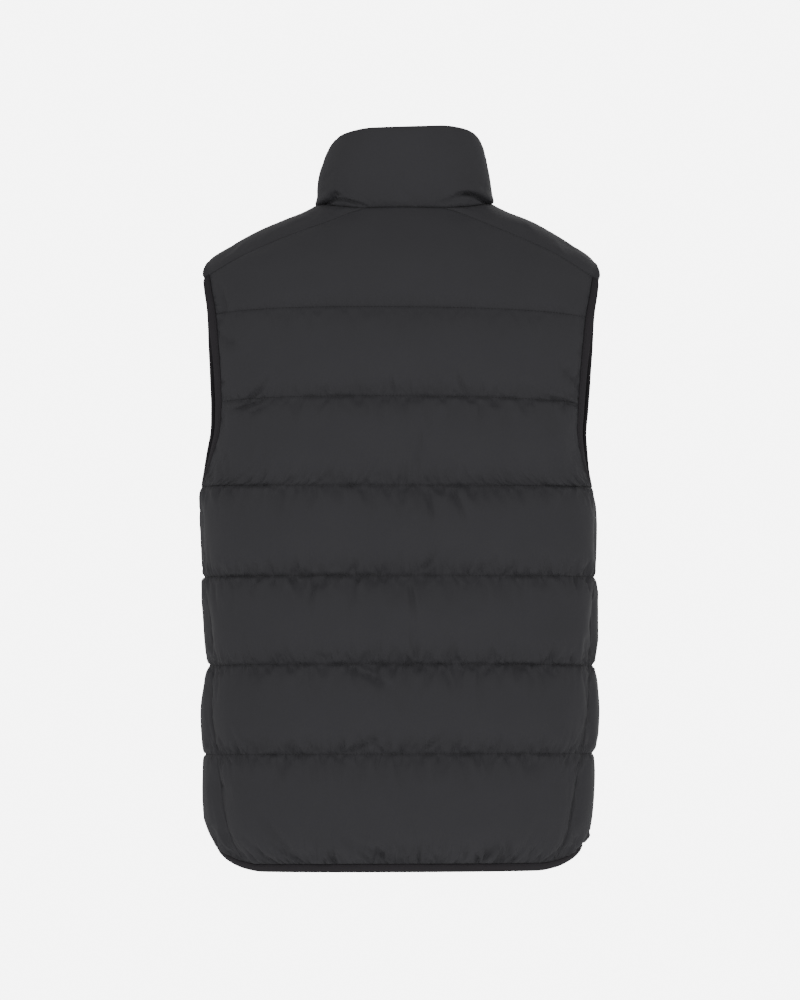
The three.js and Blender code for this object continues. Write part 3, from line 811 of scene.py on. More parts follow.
@dataclass(frozen=True)
class Filling:
    """How the padding blows a panel up between its seams."""

    pressure: float = 6.0
    stretch: float = 0.045
    bending: float = 0.05
    tension: float = 15.0
    shear: float = 5.0
    mass: float = 0.15
    damping: float = 1.0
    quality: int = 5
    frames: int = 20
    ripple: float = 0.7
    seed: int = 1

    def inflate(self, name: str, grid: Grid) -> Points:
        """Runs the cloth, held where it is sewn.

        Args:
            name: a name for the trial mesh.
            grid: the panel, whose loft is its shape before it is blown up.

        Returns:
            How far each outer point ends up from where the grid's loft puts it, in millimetres.
        """
        rows, columns = grid.loft.shape
        calm = FORM.hang(grid.point + grid.normal * grid.loft[..., None])
        uneven = self.ripple * grid.slack * ripples((rows, columns), 1.1, 2.0, self.seed)
        loft = np.where(grid.sewn, grid.loft, np.maximum(grid.loft + uneven, 0))
        start = FORM.hang(grid.point + grid.normal * loft[..., None])
        cloth = new_object(name + "_trial", start.reshape(-1, 3), grid_faces(rows, columns).tolist())
        pins = cloth.vertex_groups.new(name="sewn")
        pins.add(np.flatnonzero(grid.sewn.ravel()).tolist(), 1.0, "REPLACE")
        taut = cloth.vertex_groups.new(name="taut")
        patchy = 1 + 0.35 * ripples((rows, columns), 6.0, 6.0, self.seed + 1)
        for number, slack in enumerate(np.clip(grid.slack * patchy, 0, 1).ravel()):
            taut.add([number], float(1 - slack), "REPLACE")
        modifier = cloth.modifiers.new("filling", "CLOTH")
        self.set_up(modifier, pins.name, taut.name)
        scene = bpy.context.scene
        scene.frame_start, scene.frame_end = 1, self.frames
        for number in range(1, self.frames + 1):
            scene.frame_set(number)
        settled = cloth.evaluated_get(bpy.context.evaluated_depsgraph_get()).data
        flat = np.empty(rows * columns * 3)
        settled.vertices.foreach_get("co", flat)
        scene.frame_set(1)
        bpy.data.objects.remove(cloth)
        moved = flat.reshape(rows, columns, 3) / MM - calm
        reach = np.maximum(np.linalg.norm(moved, axis=-1), 1e-9)
        kept = grid.most * np.tanh(reach / grid.most)
        log.info("%s: the filling moves the cloth %.1f mm, and %.1f mm is kept", name, reach.max(), kept.max())
        return moved * (kept / reach)[..., None]

    def set_up(self, modifier: bpy.types.ClothModifier, pins: str, taut: str) -> None:
        """Sets the cloth modifier up.

        Args:
            modifier: the new modifier.
            pins: the vertex group of what is sewn.
            taut: the vertex group of what has no spare cloth.
        """
        modifier.point_cache.frame_end = self.frames
        settings = modifier.settings
        settings.quality = self.quality
        settings.mass = self.mass
        settings.tension_stiffness = settings.compression_stiffness = self.tension
        settings.shear_stiffness = self.shear
        settings.bending_stiffness = self.bending
        settings.air_damping = self.damping
        settings.vertex_group_mass = pins
        settings.vertex_group_shrink = taut
        settings.shrink_min = -self.stretch
        settings.shrink_max = 0
        settings.use_pressure = True
        settings.uniform_pressure_force = self.pressure
        settings.effector_weights.gravity = 0
        modifier.collision_settings.use_collision = False
        modifier.collision_settings.use_self_collision = False


@dataclass
class Piece(ABC):
    """A part of the vest that makes its own meshes and is dressed in its own finish."""

    name: str
    slot: str
    material: bpy.types.Material

    @abstractmethod
    def build(self) -> list[bpy.types.Object]:
        """Makes the piece's objects."""

    def finish(self, made: bpy.types.Object, *nodes: str, body: str = "vest") -> bpy.types.Object:
        """Dresses an object, seats it on a body and hides the solids that it replaces.

        Args:
            made: the object.
            nodes: the solids that it replaces.
            body: the body that carries it.

        Returns:
            The same object.
        """
        made.data.materials.clear()
        made.data.materials.append(self.material)
        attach(made, body)
        if nodes:
            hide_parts(*nodes)
        return made


@dataclass
class SewnPiece(Piece):
    """A piece with rows of stitches in a thread of their own finish."""

    thread_finish: bpy.types.Material | None = None

    def stitch_rows(self, shape: tuple[Points, Points], places: Points, axes: Points) -> bpy.types.Object:
        """Sews one stitch at each place.

        Args:
            shape: the stitch, as thread makes it.
            places: where the stitches go, before the vest's lean.
            axes: for each place the directions along the row, across it and outwards.

        Returns:
            The object of all the stitches.
        """
        made = scattered(self.name + "_stitches", shape, places, axes)
        made.data.materials.append(self.thread_finish)
        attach(made, "vest")
        return made


@dataclass
class QuiltedPanel(SewnPiece):
    """A panel that hangs from its top edge and is sewn across at each quilt line."""

    trial_spacing: float = 4.0
    cloth_spacing: float = 2.0
    loft: float = 14.0
    edge_pinch: float = 17.0
    flank: float = 0.8
    half_arc: float = 250.0
    head_start: float = 0.8
    even_height: float = -330.0
    baffle_high: float = 93.0
    last_baffle_high: float = 108.0
    filling: Filling = Filling()
    baffle_loft: tuple[float, ...] = (0.6, 0.85, 0.94, 1.0, 1.0, 0.96, 0.9)
    baffle_most: tuple[float, ...] = (1.0, 3.0, 4.5, 5.5, 5.5, 5.5, 5.0)
    baffle_slack: tuple[float, ...] = (0.05, 0.25, 0.6, 1.0, 1.0, 1.0, 1.0)
    line_puckers: tuple[float, ...] = (0.0, 0.35, 0.65, 1.15, 1.3, 1.3, 1.3, 1.2)
    end_puckers: tuple[float, ...] = (0.7, 1.2, 1.2, 1.2, 1.3, 1.3, 1.5)
    deepest_pucker: float = 3.4
    corner: float = 0.22
    wrinkles_below: float = 9.0
    wrinkles_above: float = 12.0
    wrinkles_at_hem: float = 20.0
    wrinkles_at_ends: float = 9.0
    creases: tuple[Crease, ...] = ()
    near_seam: tuple[float, ...] = (0, 1.2, 2.6, 4.3, 6.4, 8.9, 11.9, 15.5, 20, 25.5, 32, 39)

    def line(self, level: int, u: Points, turn: Points) -> Points:
        """The height of a quilt line, or of the cut hem after the last one.

        Args:
            level: the line's number, from the top.
            u: shares across the panel.
            turn: turns round the body, in degrees.

        Returns:
            Heights, in millimetres.
        """
        if level > len(QUILT_ROWS):
            return FORM.hem(np.abs(turn)) + FORM.binding_width
        height, sag = QUILT_ROWS[level - 1]
        return height - sag * u * u

    def trial_shares(self, level: int) -> Points:
        """The even rows of one baffle, from its upper line to its lower line."""
        return np.linspace(0, 1, round(self.baffle_height(level) / self.trial_spacing) + 1)

    def cloth_shares(self, level: int) -> Points:
        """The rows of one baffle's finished cloth, closest together beside its lines.

        Args:
            level: the baffle's number, from the top.

        Returns:
            Shares of the way from its upper line to its lower one.
        """
        deep = self.baffle_height(level)
        near = np.array(self.near_seam) / deep
        return np.concatenate([near, [0.5], 1 - near[::-1]])

    def baffle_height(self, level: int) -> float:
        """About how high a baffle is, in millimetres."""
        return self.baffle_high if level < len(QUILT_ROWS) else self.last_baffle_high

    def height(self, level: int, share: float, u: Points, from_zip: Points) -> Points:
        """How far the padding stands out before it is blown up.

        Args:
            level: the baffle's number, from the top.
            share: the share of the way down the baffle.
            u: shares across the panel.
            from_zip: distances from the zip, in millimetres.

        Returns:
            Heights above the stitch surface, in millimetres.
        """
        round_ = (4 * share * (1 - share)) ** (0.4 if level == 0 and share < 0.5 else 0.55)
        round_ *= 0.35 + 0.65 * share if level == 0 else 1
        edge = np.clip((1 - np.abs(u)) * self.half_arc / self.edge_pinch, 0, 1) ** 0.45
        front = np.clip(from_zip / self.edge_pinch, 0, 1) ** 0.6
        flank = 1 - self.flank * u * u
        uneven = 1 + 0.1 * np.sin(7.3 * u + 2.1 * level) + 0.07 * np.sin(13.7 * u - level)
        return self.head_start * self.loft * self.baffle_loft[level] * round_ * edge * front * flank * uneven

    @abstractmethod
    def places(self, level: int, share: float, edge: float, spacing: float) -> tuple[Points, ...]:
        """Lays one row out.

        Args:
            level: which baffle.
            share: how far down the baffle.
            edge: the turn of the outer edge.
            spacing: about how far apart its points are.

        Returns:
            The shares of the way to the edge, the turns, the heights and the distances from the zip.
        """

    @abstractmethod
    def start(self) -> tuple[float, Facing]:
        """The height at which the outer edge starts, and the panel's side of the armhole."""

    def baffle(self, level: int, shares: Points, spacing: float) -> Grid:
        """Lays one baffle out.

        Args:
            level: which baffle.
            shares: its rows, from 0 at its upper line to 1 at its lower line.
            spacing: about how far apart the columns are.

        Returns:
            The baffle's grid, facing outwards.
        """
        top, facing = self.start()
        hem_turn = np.array(float(FORM.side_seam(-690.0)))
        above = top if level == 0 else float(self.line(level, 1.0, hem_turn))
        below = float(self.line(level + 1, 1.0, hem_turn))
        turns, heights, lofts, slack, most = [], [], [], [], []
        for share in shares:
            edge = float(FORM.edge_turn(np.array(mix(above, below, share)), facing))
            u, turn, z, from_zip = self.places(level, share, edge, spacing)
            turns.append(turn)
            heights.append(z)
            lofts.append(self.height(level, share, u, from_zip))
            beside = min(share, 1 - share) * self.baffle_height(level)
            gathered = 0.3 + 0.7 * math.exp(-((beside / 16) ** 2))
            slack.append(self.baffle_slack[level] * gathered * (1 - 0.3 * u * u))
            most.append(self.baffle_most[level] * (1 - 0.5 * u * u))
        turns, heights = np.array(turns), np.array(heights)
        ways, sewn = FORM.normal(turns, heights), border(turns.shape)
        return Grid(FORM.point(turns, heights), ways, np.array(lofts), sewn, np.array(slack), np.array(most))

    def sewn_together(self, baffles: list[Grid]) -> Grid:
        """Joins the baffles' grids, which share their quilt lines."""
        first, rest = baffles[0].parts(), [b.parts() for b in baffles[1:]]
        return Grid(*(np.concatenate([part] + [b[k][1:] for b in rest]) for k, part in enumerate(first)))

    def outer_cloth(self) -> tuple[Grid, Points, Points]:
        """Fills the panel on its even grid and lays the finished cloth over that.

        Returns:
            The cloth's grid, its outer points and how gathered it is there.
        """
        levels = range(len(QUILT_ROWS) + 1)
        trial = self.sewn_together([self.baffle(k, self.trial_shares(k), self.trial_spacing) for k in levels])
        moved = self.filling.inflate(self.name, trial)
        laid, shifts, gathered, row = [], [], [], 0
        for level in levels:
            shares, wanted = self.trial_shares(level), self.cloth_shares(level)
            grid = self.baffle(level, wanted, self.cloth_spacing)
            part = resampled(moved[row : row + len(shares)], shares, wanted)
            columns = np.linspace(0, 1, part.shape[1]), np.linspace(0, 1, grid.loft.shape[1])
            shifts.append(resampled(part.transpose(1, 0, 2), *columns).transpose(1, 0, 2)[1 if level else 0 :])
            grid.loft = np.maximum(grid.loft + self.puckers(level, wanted, grid), grid.loft * 0.3 - 0.9)
            laid.append(grid)
            gathered.append(self.gathered(level, wanted, grid)[1 if level else 0 :])
            row += len(shares) - 1
        cloth = self.sewn_together(laid)
        outer = FORM.hang(cloth.point + cloth.normal * cloth.loft[..., None]) + np.concatenate(shifts)
        return cloth, outer, np.concatenate(gathered)

    def gathered(self, level: int, shares: Points, grid: Grid) -> Points:
        """Finds how strongly the cloth is gathered, from 0 to about 1.

        Args:
            level: which baffle.
            shares: its rows.
            grid: its layout.

        Returns:
            One value for each point of the baffle.
        """
        down = (shares * self.baffle_height(level))[:, None]
        reach = self.wrinkles_at_hem if level == len(QUILT_ROWS) else self.wrinkles_above
        above = self.line_puckers[level] * np.exp(-((down / self.wrinkles_below) ** 2))
        below = self.line_puckers[level + 1] * np.exp(-((down[::-1] / reach) ** 2))
        u = np.linspace(-1, 1, grid.loft.shape[1])[None]
        beside = np.exp(-(((1 - np.abs(u)) * self.half_arc / self.wrinkles_at_ends) ** 2))
        ends = 0.5 + 0.5 * np.abs(u) ** 3
        return np.clip(np.maximum(above, below) * ends * 1.1 + 0.5 * self.end_puckers[level] * beside, 0, 1.2)

    def puckers(self, level: int, shares: Points, grid: Grid) -> Points:
        """Gathers the cloth beside a baffle's two lines and beside its two ends.

        Args:
            level: which baffle.
            shares: its rows.
            grid: its layout.

        Returns:
            How far each point is moved outwards.
        """
        chance = np.random.default_rng(100 * self.filling.seed + level)
        middle = grid.point[len(shares) // 2]
        along = walked(middle)
        half = along[-1] / 2
        down = (shares * self.baffle_height(level))[:, None]
        total = np.zeros(grid.loft.shape)
        for line, beside in ((level, down), (level + 1, down[::-1])):
            strength = self.line_puckers[line]
            hem = (HEM_GATHERS,) if line > len(QUILT_ROWS) else ()
            for kind in LINE_GATHERS + hem:
                total += kind.folds(along[None], beside, strength, chance)
            for end in (along[None], along[None, ::-1]):
                near = np.exp(-((end / (self.corner * half)) ** 2))
                total += near * CORNER_GATHERS.folds(along[None], beside, strength, chance)
        for end in (along[None], along[None, ::-1]):
            total += END_GATHERS.folds(down, end, self.end_puckers[level], chance)
        return np.where(grid.sewn, 0, np.maximum(total, -self.deepest_pucker))

    def build(self) -> list[bpy.types.Object]:
        """Blows the outer cloth up, creases it and closes it with its plain inner face.

        Returns:
            The finished objects.
        """
        grid, outer, gathered = self.outer_cloth()
        for crease in self.creases:
            outer = np.where(grid.sewn[..., None], outer, crease.fold(outer, grid.normal))
        outer = kept_above(outer, grid, -1.0)
        inner = FORM.hang(grid.point - grid.normal * FORM.wall)
        made = self.finish(padded_wall(self.name + "_cloth", outer, inner), self.name)
        # how gathered the cloth is sets the fine wrinkle bump and the painted shade that darkens the colour there
        amount = made.data.attributes.new(GATHERED, "FLOAT", "POINT")
        amount.data.foreach_set("value", np.concatenate([gathered.ravel(), np.zeros(gathered.size)]))
        return [made, self.stitches(grid)]

    def stitches(self, grid: Grid) -> bpy.types.Object:
        """Sews a stitch row along each quilt line.

        Args:
            grid: the panel's sewn surface.

        Returns:
            All the rows as one object.
        """
        places, axes = [], []
        for row in np.flatnonzero(grid.sewn.all(axis=1))[1:-1]:
            place, frame_ = along_path(grid.point[row] + grid.normal[row] * 0.35, grid.normal[row], 3.6)
            places.append(place)
            axes.append(frame_)
        return self.stitch_rows(thread(2.7, 0.5), np.concatenate(places), np.concatenate(axes))


@dataclass
class BackPanel(QuiltedPanel):
    """The back, in one piece from side seam to side seam."""

    def start(self) -> tuple[float, Facing]:
        """The outer edge starts at the end of the back yoke seam."""
        return FORM.back_yoke_end, Facing.BACK

    def places(self, level: int, share: float, edge: float, spacing: float) -> tuple[Points, ...]:
        """Lays one row out from the left side to the right.

        Args:
            level: the baffle's number, from the top.
            share: the share of the way down the baffle.
            edge: the turn of the panel's side edge.
            spacing: the distance between points.

        Returns:
            Shares across, turns, heights, and a distance that no zip pinches.
        """
        widest = float(FORM.edge_turn(np.array(self.even_height), Facing.BACK))
        path = FORM.point(np.linspace(-1, 1, 801) * widest, self.even_height)
        u = 2 * even_shares(path, round(2 * self.half_arc / spacing)) - 1
        turn = u * edge
        above = self.line(level, u, turn)
        if level == 0:
            top_turn, top_z = FORM.back_top()
            above = np.interp(np.abs(u) * top_turn[-1], top_turn, top_z)
        z = mix(above, self.line(level + 1, u, turn), share)
        return u, turn, z, np.full_like(u, self.edge_pinch)


@dataclass
class FrontPanel(QuiltedPanel):
    """One front, from the zip to the side seam."""

    side: Side = Side.RIGHT
    flank: float = 0.68
    trial_spacing: float = 5.0
    cloth_spacing: float = 3.0

    def start(self) -> tuple[float, Facing]:
        """The outer edge starts at the end of the front yoke seam."""
        return FORM.front_yoke_end, Facing.FRONT

    def places(self, level: int, share: float, edge: float, spacing: float) -> tuple[Points, ...]:
        """Lays one row out on the right, from the zip outwards.

        Args:
            level: the baffle's number, from the top.
            share: the share of the way down the baffle.
            edge: the turn of the panel's side edge.
            spacing: the distance between points.

        Returns:
            Shares across, turns, heights, and distances from the zip.
        """
        widest = float(FORM.edge_turn(np.array(self.even_height), Facing.FRONT))
        path = FORM.point(mix(179.5, widest, np.linspace(0, 1, 401)), self.even_height)
        u = even_shares(path, round(self.half_arc / spacing))
        above = self.line(level, u, u)
        if level == 0:
            top_turn, top_z = FORM.front_top()
            zip_at_top = FORM.zip_turn(top_z)
            above = np.interp(u, (zip_at_top - top_turn) / (zip_at_top - top_turn[-1]), top_z)
        z = mix(above, self.line(level + 1, u, mix(180, edge, u)), share)
        turn = mix(FORM.zip_turn(z), edge, u)
        return u, turn, z, FORM.point(turn, z)[..., 0] - FORM.zip_half_slot

    def baffle(self, level: int, shares: Points, spacing: float) -> Grid:
        """Turns the right front's columns to face outwards, or mirrors it for the left front."""
        made = super().baffle(level, shares, spacing)
        return made.mirrored().columns_reversed() if self.side is Side.LEFT else made.columns_reversed()


@dataclass
class Yoke(Piece):
    """The plain padded piece over one shoulder, between two seams, the neck and the tip."""

    side: Side = Side.RIGHT
    spacing: float = 3.5
    length: float = 150.0
    reach: float = 125.0
    loft: float = 4.0
    slack: float = 0.6
    most: float = 0.8
    filling: Filling = Filling(pressure=3, stretch=0.012, ripple=0.25)
    tip_rise: float = 0.7
    overhang: tuple[tuple[float, float], ...] = (
        (1.2, -0.8), (2.3, -1.8), (2.9, -3.2), (3.2, -5.2), (3.3, -7.4), (2.9, -9.2)
    )

    def grid(self) -> Grid:
        """Blends the yoke between its four edges: rows go from the neck to the tip.

        Returns:
            The yoke's sewn surface.
        """
        rows, columns = round(self.reach / self.spacing), round(self.length / self.spacing)
        u, v = np.linspace(0, 1, rows), np.linspace(0, 1, columns)
        neck_turn = mix(FORM.neck_corner(), FORM.front_yoke_turn, v)
        edges = zip(FORM.back_yoke(u), FORM.front_yoke(u), (neck_turn, FORM.neck(neck_turn)), FORM.yoke_tip(v))
        laid = []
        for back, front, neck, tip in edges:
            between = mix(back[:, None], front[:, None], v) + mix(neck[None, :], tip[None, :], u[:, None])
            laid.append(between - mix(mix(back[0], front[0], v), mix(back[-1], front[-1], v), u[:, None]))
        turn, z = laid
        along = np.where(u < 0.5, 4 * u * (1 - u), 1 - (1 - self.tip_rise) * (2 * u - 1) ** 4)
        rise = (4 * along[:, None] * v * (1 - v)) ** 0.3
        even = np.ones(turn.shape)
        ways, sewn = FORM.normal(turn, z), border(turn.shape)
        made = Grid(FORM.point(turn, z), ways, self.loft * rise, sewn, even * self.slack, even * self.most)
        return made.mirrored() if self.side is Side.LEFT else made

    def build(self) -> list[bpy.types.Object]:
        """Blows the outer cloth up and closes it with its plain inner face.

        Returns:
            The finished objects.
        """
        grid = self.grid()
        across, along = grid.point[0, 1] - grid.point[0, 0], grid.point[1, 0] - grid.point[0, 0]
        if np.sum(np.cross(across, along) * grid.normal[0, 0]) > 0:
            grid = grid.columns_reversed()
        moved = self.filling.inflate(self.name, grid)
        outer = FORM.hang(grid.point + grid.normal * grid.loft[..., None]) + moved
        inner = FORM.hang(grid.point - grid.normal * FORM.wall)
        roll = np.array([(self.side.value * a, 0, b) for a, b in self.overhang])[:, None]
        share = np.linspace(0, 1, outer.shape[1])[:, None]
        short = 1 - np.clip(np.minimum(share, 1 - share) / 0.25, 0, 1)
        roll = roll * (1 + 0.7 * short * (1, 0, 0) - 0.65 * short * (0, 0, 1))
        outer = np.concatenate([outer, outer[-1] + roll])
        inner = np.concatenate([inner, inner[-1] + roll * (0.62, 1, 0.8)])
        made = self.finish(padded_wall(self.name + "_cloth", outer, inner), self.name)
        return [made]


@dataclass
class Collar(Piece):
    """The stand-up collar, one padded tube round the neck from zip edge to zip edge."""

    spacing: float = 2.1
    length: float = 480.0
    height: float = 86.0
    loft: float = 6.0
    slack: float = 0.6
    most: float = 1.5
    inner_loft: float = 2.0
    end_ramp: float = 22.0
    filling: Filling = Filling(pressure=3, stretch=0.012, ripple=0.2, seed=7)
    creases: tuple[Crease, ...] = (
        Crease(((-93, -6), (-84, 1), (-78, 6), (-73, 9), (-68, 15)), 9.5, 3.0, 3.6, 4.5),
        Crease(((-74, 12), (-66, 8), (-57, 8), (-47, 5), (-35, 0)), 3.8, 2.0, 1.4, 1.6),
        Crease(((-84, 24), (-76, 32), (-68, 37)), 0.9, 3.0, 0.3),
        Crease(((60, 13), (70, 16), (78, 15), (86, 10), (92, 5), (99, -5)), 9.5, 3.0, 3.6, 4.5),
        Crease(((40, 4), (54, 8), (68, 7)), 2.0, 2.2, 0.6),
    )

    def build(self) -> list[bpy.types.Object]:
        """Lays the collar out, fills it, folds its base and closes it.

        Returns:
            The finished objects.
        """
        start = float(FORM.zip_turn(FORM.neck(180.0)))
        path = FORM.collar(np.linspace(-start, start, 1601), np.array(0.4))
        turn = mix(-start, start, even_shares(path, round(self.length / self.spacing)))
        rows = round(self.height / self.spacing)
        share = (1 - np.cos(np.linspace(0, math.pi, rows))) / 2
        share = mix(share, np.linspace(0, 1, rows), 0.6)[::-1]
        point = FORM.collar(turn[None, :], share[:, None])
        ahead = np.gradient(point, axis=1)
        up = point[0] - point[-1]
        normal = unit(np.cross(ahead, np.broadcast_to(up, ahead.shape)))
        along = np.cumsum(np.linalg.norm(ahead[rows // 2], axis=-1))
        from_end = np.minimum(along - along[0], along[-1] - along)
        round_ = (4 * share * (1 - share))[:, None] ** 0.45
        loft = self.loft * round_ * np.clip(from_end / self.end_ramp, 0, 1) ** 0.5
        sewn = border(loft.shape)
        above = (share * self.height)[:, None]
        loft = loft + ~sewn * COLLAR_GATHERS.folds(along[None], above, 1.0, np.random.default_rng(71))
        even = np.ones(loft.shape)
        grid = Grid(point, normal, loft, sewn, even * self.slack, even * self.most)
        outer = FORM.hang(point + normal * loft[..., None]) + self.filling.inflate(self.name, grid)
        for crease in self.creases:
            outer = np.where(sewn[..., None], outer, crease.fold(outer, normal))
        outer = kept_above(outer, grid, -2.2)
        inward = FORM.wall + self.inner_loft * round_ * np.clip((from_end - 16) / 20, 0, 1)
        inner = FORM.hang(point - normal * inward[..., None])
        made = self.finish(padded_wall(self.name + "_cloth", outer, inner), self.name)
        return [made]


def ring_faces(numbers: Points, closed: bool = False) -> Points:
    """The quads between rings of vertices, given as rows of their numbers.

    Args:
        numbers: one row of vertex numbers for each ring.
        closed: whether the last ring meets the first.

    Returns:
        Four vertex numbers for each face.
    """
    here = numbers if closed else numbers[:-1]
    after = np.roll(numbers, -1, axis=0) if closed else numbers[1:]
    faces = np.stack([here, np.roll(here, -1, axis=1), np.roll(after, -1, axis=1), after], axis=-1)
    return faces.reshape(-1, 4)


def swept(name: str, loops: Points, closed: bool) -> bpy.types.Object:
    """Makes a tube through sections.

    Args:
        name: the piece's name.
        loops: an array of sections, each a ring of points.
        closed: whether the last section joins the first one.

    Returns:
        The new object.
    """
    count, ring = loops.shape[:2]
    numbers = np.arange(count * ring).reshape(count, ring)
    faces = ring_faces(numbers, closed).tolist()
    if not closed:
        faces += [numbers[0][::-1].tolist(), numbers[-1].tolist()]
    made = new_object(name, FORM.hang(loops).reshape(-1, 3), faces)
    turn_outwards(made)
    return made


def turn_outwards(made: bpy.types.Object) -> None:
    """Makes all of an object's faces look outwards.

    Args:
        made: the mesh object.
    """
    work = bmesh.new()
    work.from_mesh(made.data)
    bmesh.ops.recalc_face_normals(work, faces=work.faces)
    work.to_mesh(made.data)
    work.free()


def scattered(name: str, shape: tuple[Points, Points], places: Points, axes: Points) -> bpy.types.Object:
    """Makes one object of many small copies of a shape.

    Args:
        name: the object's name.
        shape: the vertices and the faces of one copy, around the origin.
        places: where the copies go, before the vest's lean.
        axes: for each place three rows, the directions of the shape's own x, y and z.

    Returns:
        The new object.
    """
    vertices, faces = shape
    points = FORM.hang(places[:, None, :] + np.einsum("kd,ndc->nkc", vertices, axes))
    numbers = faces[None] + (np.arange(len(places)) * len(vertices))[:, None, None]
    made = new_object(name, points.reshape(-1, 3), numbers.reshape(-1, faces.shape[1]).tolist())
    turn_outwards(made)
    return made


def thread(length: float, thick: float, sides: int = 6) -> tuple[Points, Points]:
    """The shape of one stitch: a short thread along x, dipping at both of its ends.

    Args:
        length: the stitch's length.
        thick: the thread's thickness.
        sides: how many sides the thread has.

    Returns:
        Its points and its faces.
    """
    along = np.array([-0.5, -0.32, 0, 0.32, 0.5]) * length
    radius = np.array([0.25, 0.85, 1, 0.85, 0.25]) * thick / 2
    sink = np.array([-1.0, -0.25, 0, -0.25, -1.0]) * thick
    angle = np.arange(sides) * 2 * math.pi / sides
    rings = [
        np.stack([np.full(sides, x), r * np.cos(angle), r * np.sin(angle) + s], axis=-1)
        for x, r, s in zip(along, radius, sink)
    ]
    return np.concatenate(rings), ring_faces(np.arange(len(along) * sides).reshape(len(along), sides))


def read_path(at: Points, keys: Points, path: Points) -> Points:
    """Reads points of a path, or ways along it, between those that are given at the keys."""
    return np.stack([np.interp(at, keys, path[:, k]) for k in range(3)], axis=-1)


def along_path(path: Points, ways: Points, pitch: float) -> tuple[Points, Points]:
    """Steps along a path at an even pitch.

    Args:
        path: its points.
        ways: the outward direction at each point.
        pitch: the step.

    Returns:
        The places, and for each the directions along the path, across it and outwards.
    """
    keys = walked(path)
    at = np.arange(pitch / 2, keys[-1], pitch)
    place = read_path(at, keys, path)
    along = unit(read_path(at + 0.5, keys, path) - place)
    out = unit(read_path(at, keys, ways))
    across = unit(np.cross(out, along))
    return place, np.stack([along, across, np.cross(along, across)], axis=1)


@dataclass
class Binding(SewnPiece):
    """A ribbed elastic strip folded over a cut edge, with a row of stitches."""

    gap: float = 0.1
    raised: float = 1.2
    inside: float = 4.0
    rib_pitch: float = 2.4
    rib_height: float = 0.12
    stations_each_rib: int = 4

    @abstractmethod
    def sewn_to(self) -> list[str]:
        """The nodes whose edges the strip binds."""

    def section(self) -> Points:
        """The strip's section as pairs of distance from the edge and height.

        Returns:
            The pairs in order, from the edge round the fold and back.
        """
        width = FORM.binding_width
        middle = (self.raised - self.inside) / 2
        half = (self.raised + self.inside) / 2
        angle = np.linspace(-math.pi / 2, math.pi / 2, 9)
        fold = [(self.gap + width - 2.6 + 2.9 * math.cos(a), middle - half * math.sin(a)) for a in angle]
        near, far = self.gap + 0.7, self.gap + 3.2
        top = [(self.gap, self.raised - 0.9), (near, self.raised - 0.1), (far, self.raised + 0.15)]
        under = [(far, -self.inside), (near, -self.inside), (self.gap, 0.6 - self.inside)]
        return np.array(top + fold + under)

    def strip(self, path: Points, ways: Points, closed: bool, down: bool, flare: Points) -> list[bpy.types.Object]:
        """Sweeps the strip along an edge and sews it on.

        Args:
            path: points of the edge.
            ways: outward directions there.
            closed: whether the edge is a loop.
            down: whether the strip's free side looks down, rather than out of the loop's panel.
            flare: how far, in degrees, the strip turns outwards about the edge at each point.

        Returns:
            The strip and its stitches.
        """
        ahead = np.gradient(path, axis=0)
        if closed:
            ahead = np.roll(path, -1, axis=0) - np.roll(path, 1, axis=0)
        away = unit(np.cross(unit(ahead), ways))
        if down:
            away = away * -np.sign(away[:, 2:])
        lean = np.radians(flare)[:, None]
        away, ways = away * np.cos(lean) + ways * np.sin(lean), ways * np.cos(lean) - away * np.sin(lean)
        section = self.section()
        number = np.arange(len(path)) * 2 * math.pi / self.stations_each_rib
        rib = self.rib_height * np.cos(number)
        push = section - np.array([FORM.binding_width / 2, (self.raised - self.inside) / 2])
        push = push / np.linalg.norm(push, axis=1, keepdims=True)
        profile = section[None] + push[None] * rib[:, None, None]
        loops = path[:, None] + profile[..., :1] * away[:, None] + profile[..., 1:] * ways[:, None]
        made = self.finish(swept(self.name + "_strip", loops, closed), self.name)
        self.sewn_to()
        sewn_at = path + away * 2.2 + ways * (self.raised + 0.2)
        return [made, self.stitch_rows(thread(2.6, 0.5), *along_path(sewn_at, ways, 3.4))]


@dataclass
class ArmholeBinding(Binding):
    """The binding round one armhole, which flares out and is tucked under at the shoulder tip."""

    side: Side = Side.RIGHT
    flares: tuple[tuple[float, float], ...] = (
        (0.0, -55), (0.45, -55), (0.55, 0), (0.68, 24), (0.9, 26), (1.15, 24),
        (1.45, 15), (1.75, 9), (2.1, 3), (2.6, -14), (3.2, -30),
    )
    tip_centre: float = 0.1

    def sewn_to(self) -> list[str]:
        """The three panels round the armhole."""
        return ["back_panel", "front_panel_" + self.side.word, "yoke_" + self.side.word]

    def build(self) -> list[bpy.types.Object]:
        """Walks the armhole at an even pitch.

        Returns:
            The finished objects.
        """
        rough = FORM.point(*FORM.armhole_loop(np.linspace(-math.pi, math.pi, 1441)))
        length = np.linalg.norm(np.diff(rough, axis=0), axis=1).sum()
        ribs = round(length / self.rib_pitch)
        share = even_shares(rough, ribs * self.stations_each_rib + 1)[:-1]
        turn, z = FORM.armhole_loop(mix(-math.pi, math.pi, share))
        path, ways = FORM.point(turn, z), FORM.normal(turn, z)
        from_top = np.abs(mix(-math.pi, math.pi, share) - self.tip_centre)
        flare = column(self.flares, 0, 1)(from_top)
        if self.side is Side.LEFT:
            path, ways = path * (-1, 1, 1), ways * (-1, 1, 1)
            path, ways, flare = path[::-1], ways[::-1], flare[::-1]
        return self.strip(path, ways, closed=True, down=False, flare=flare)


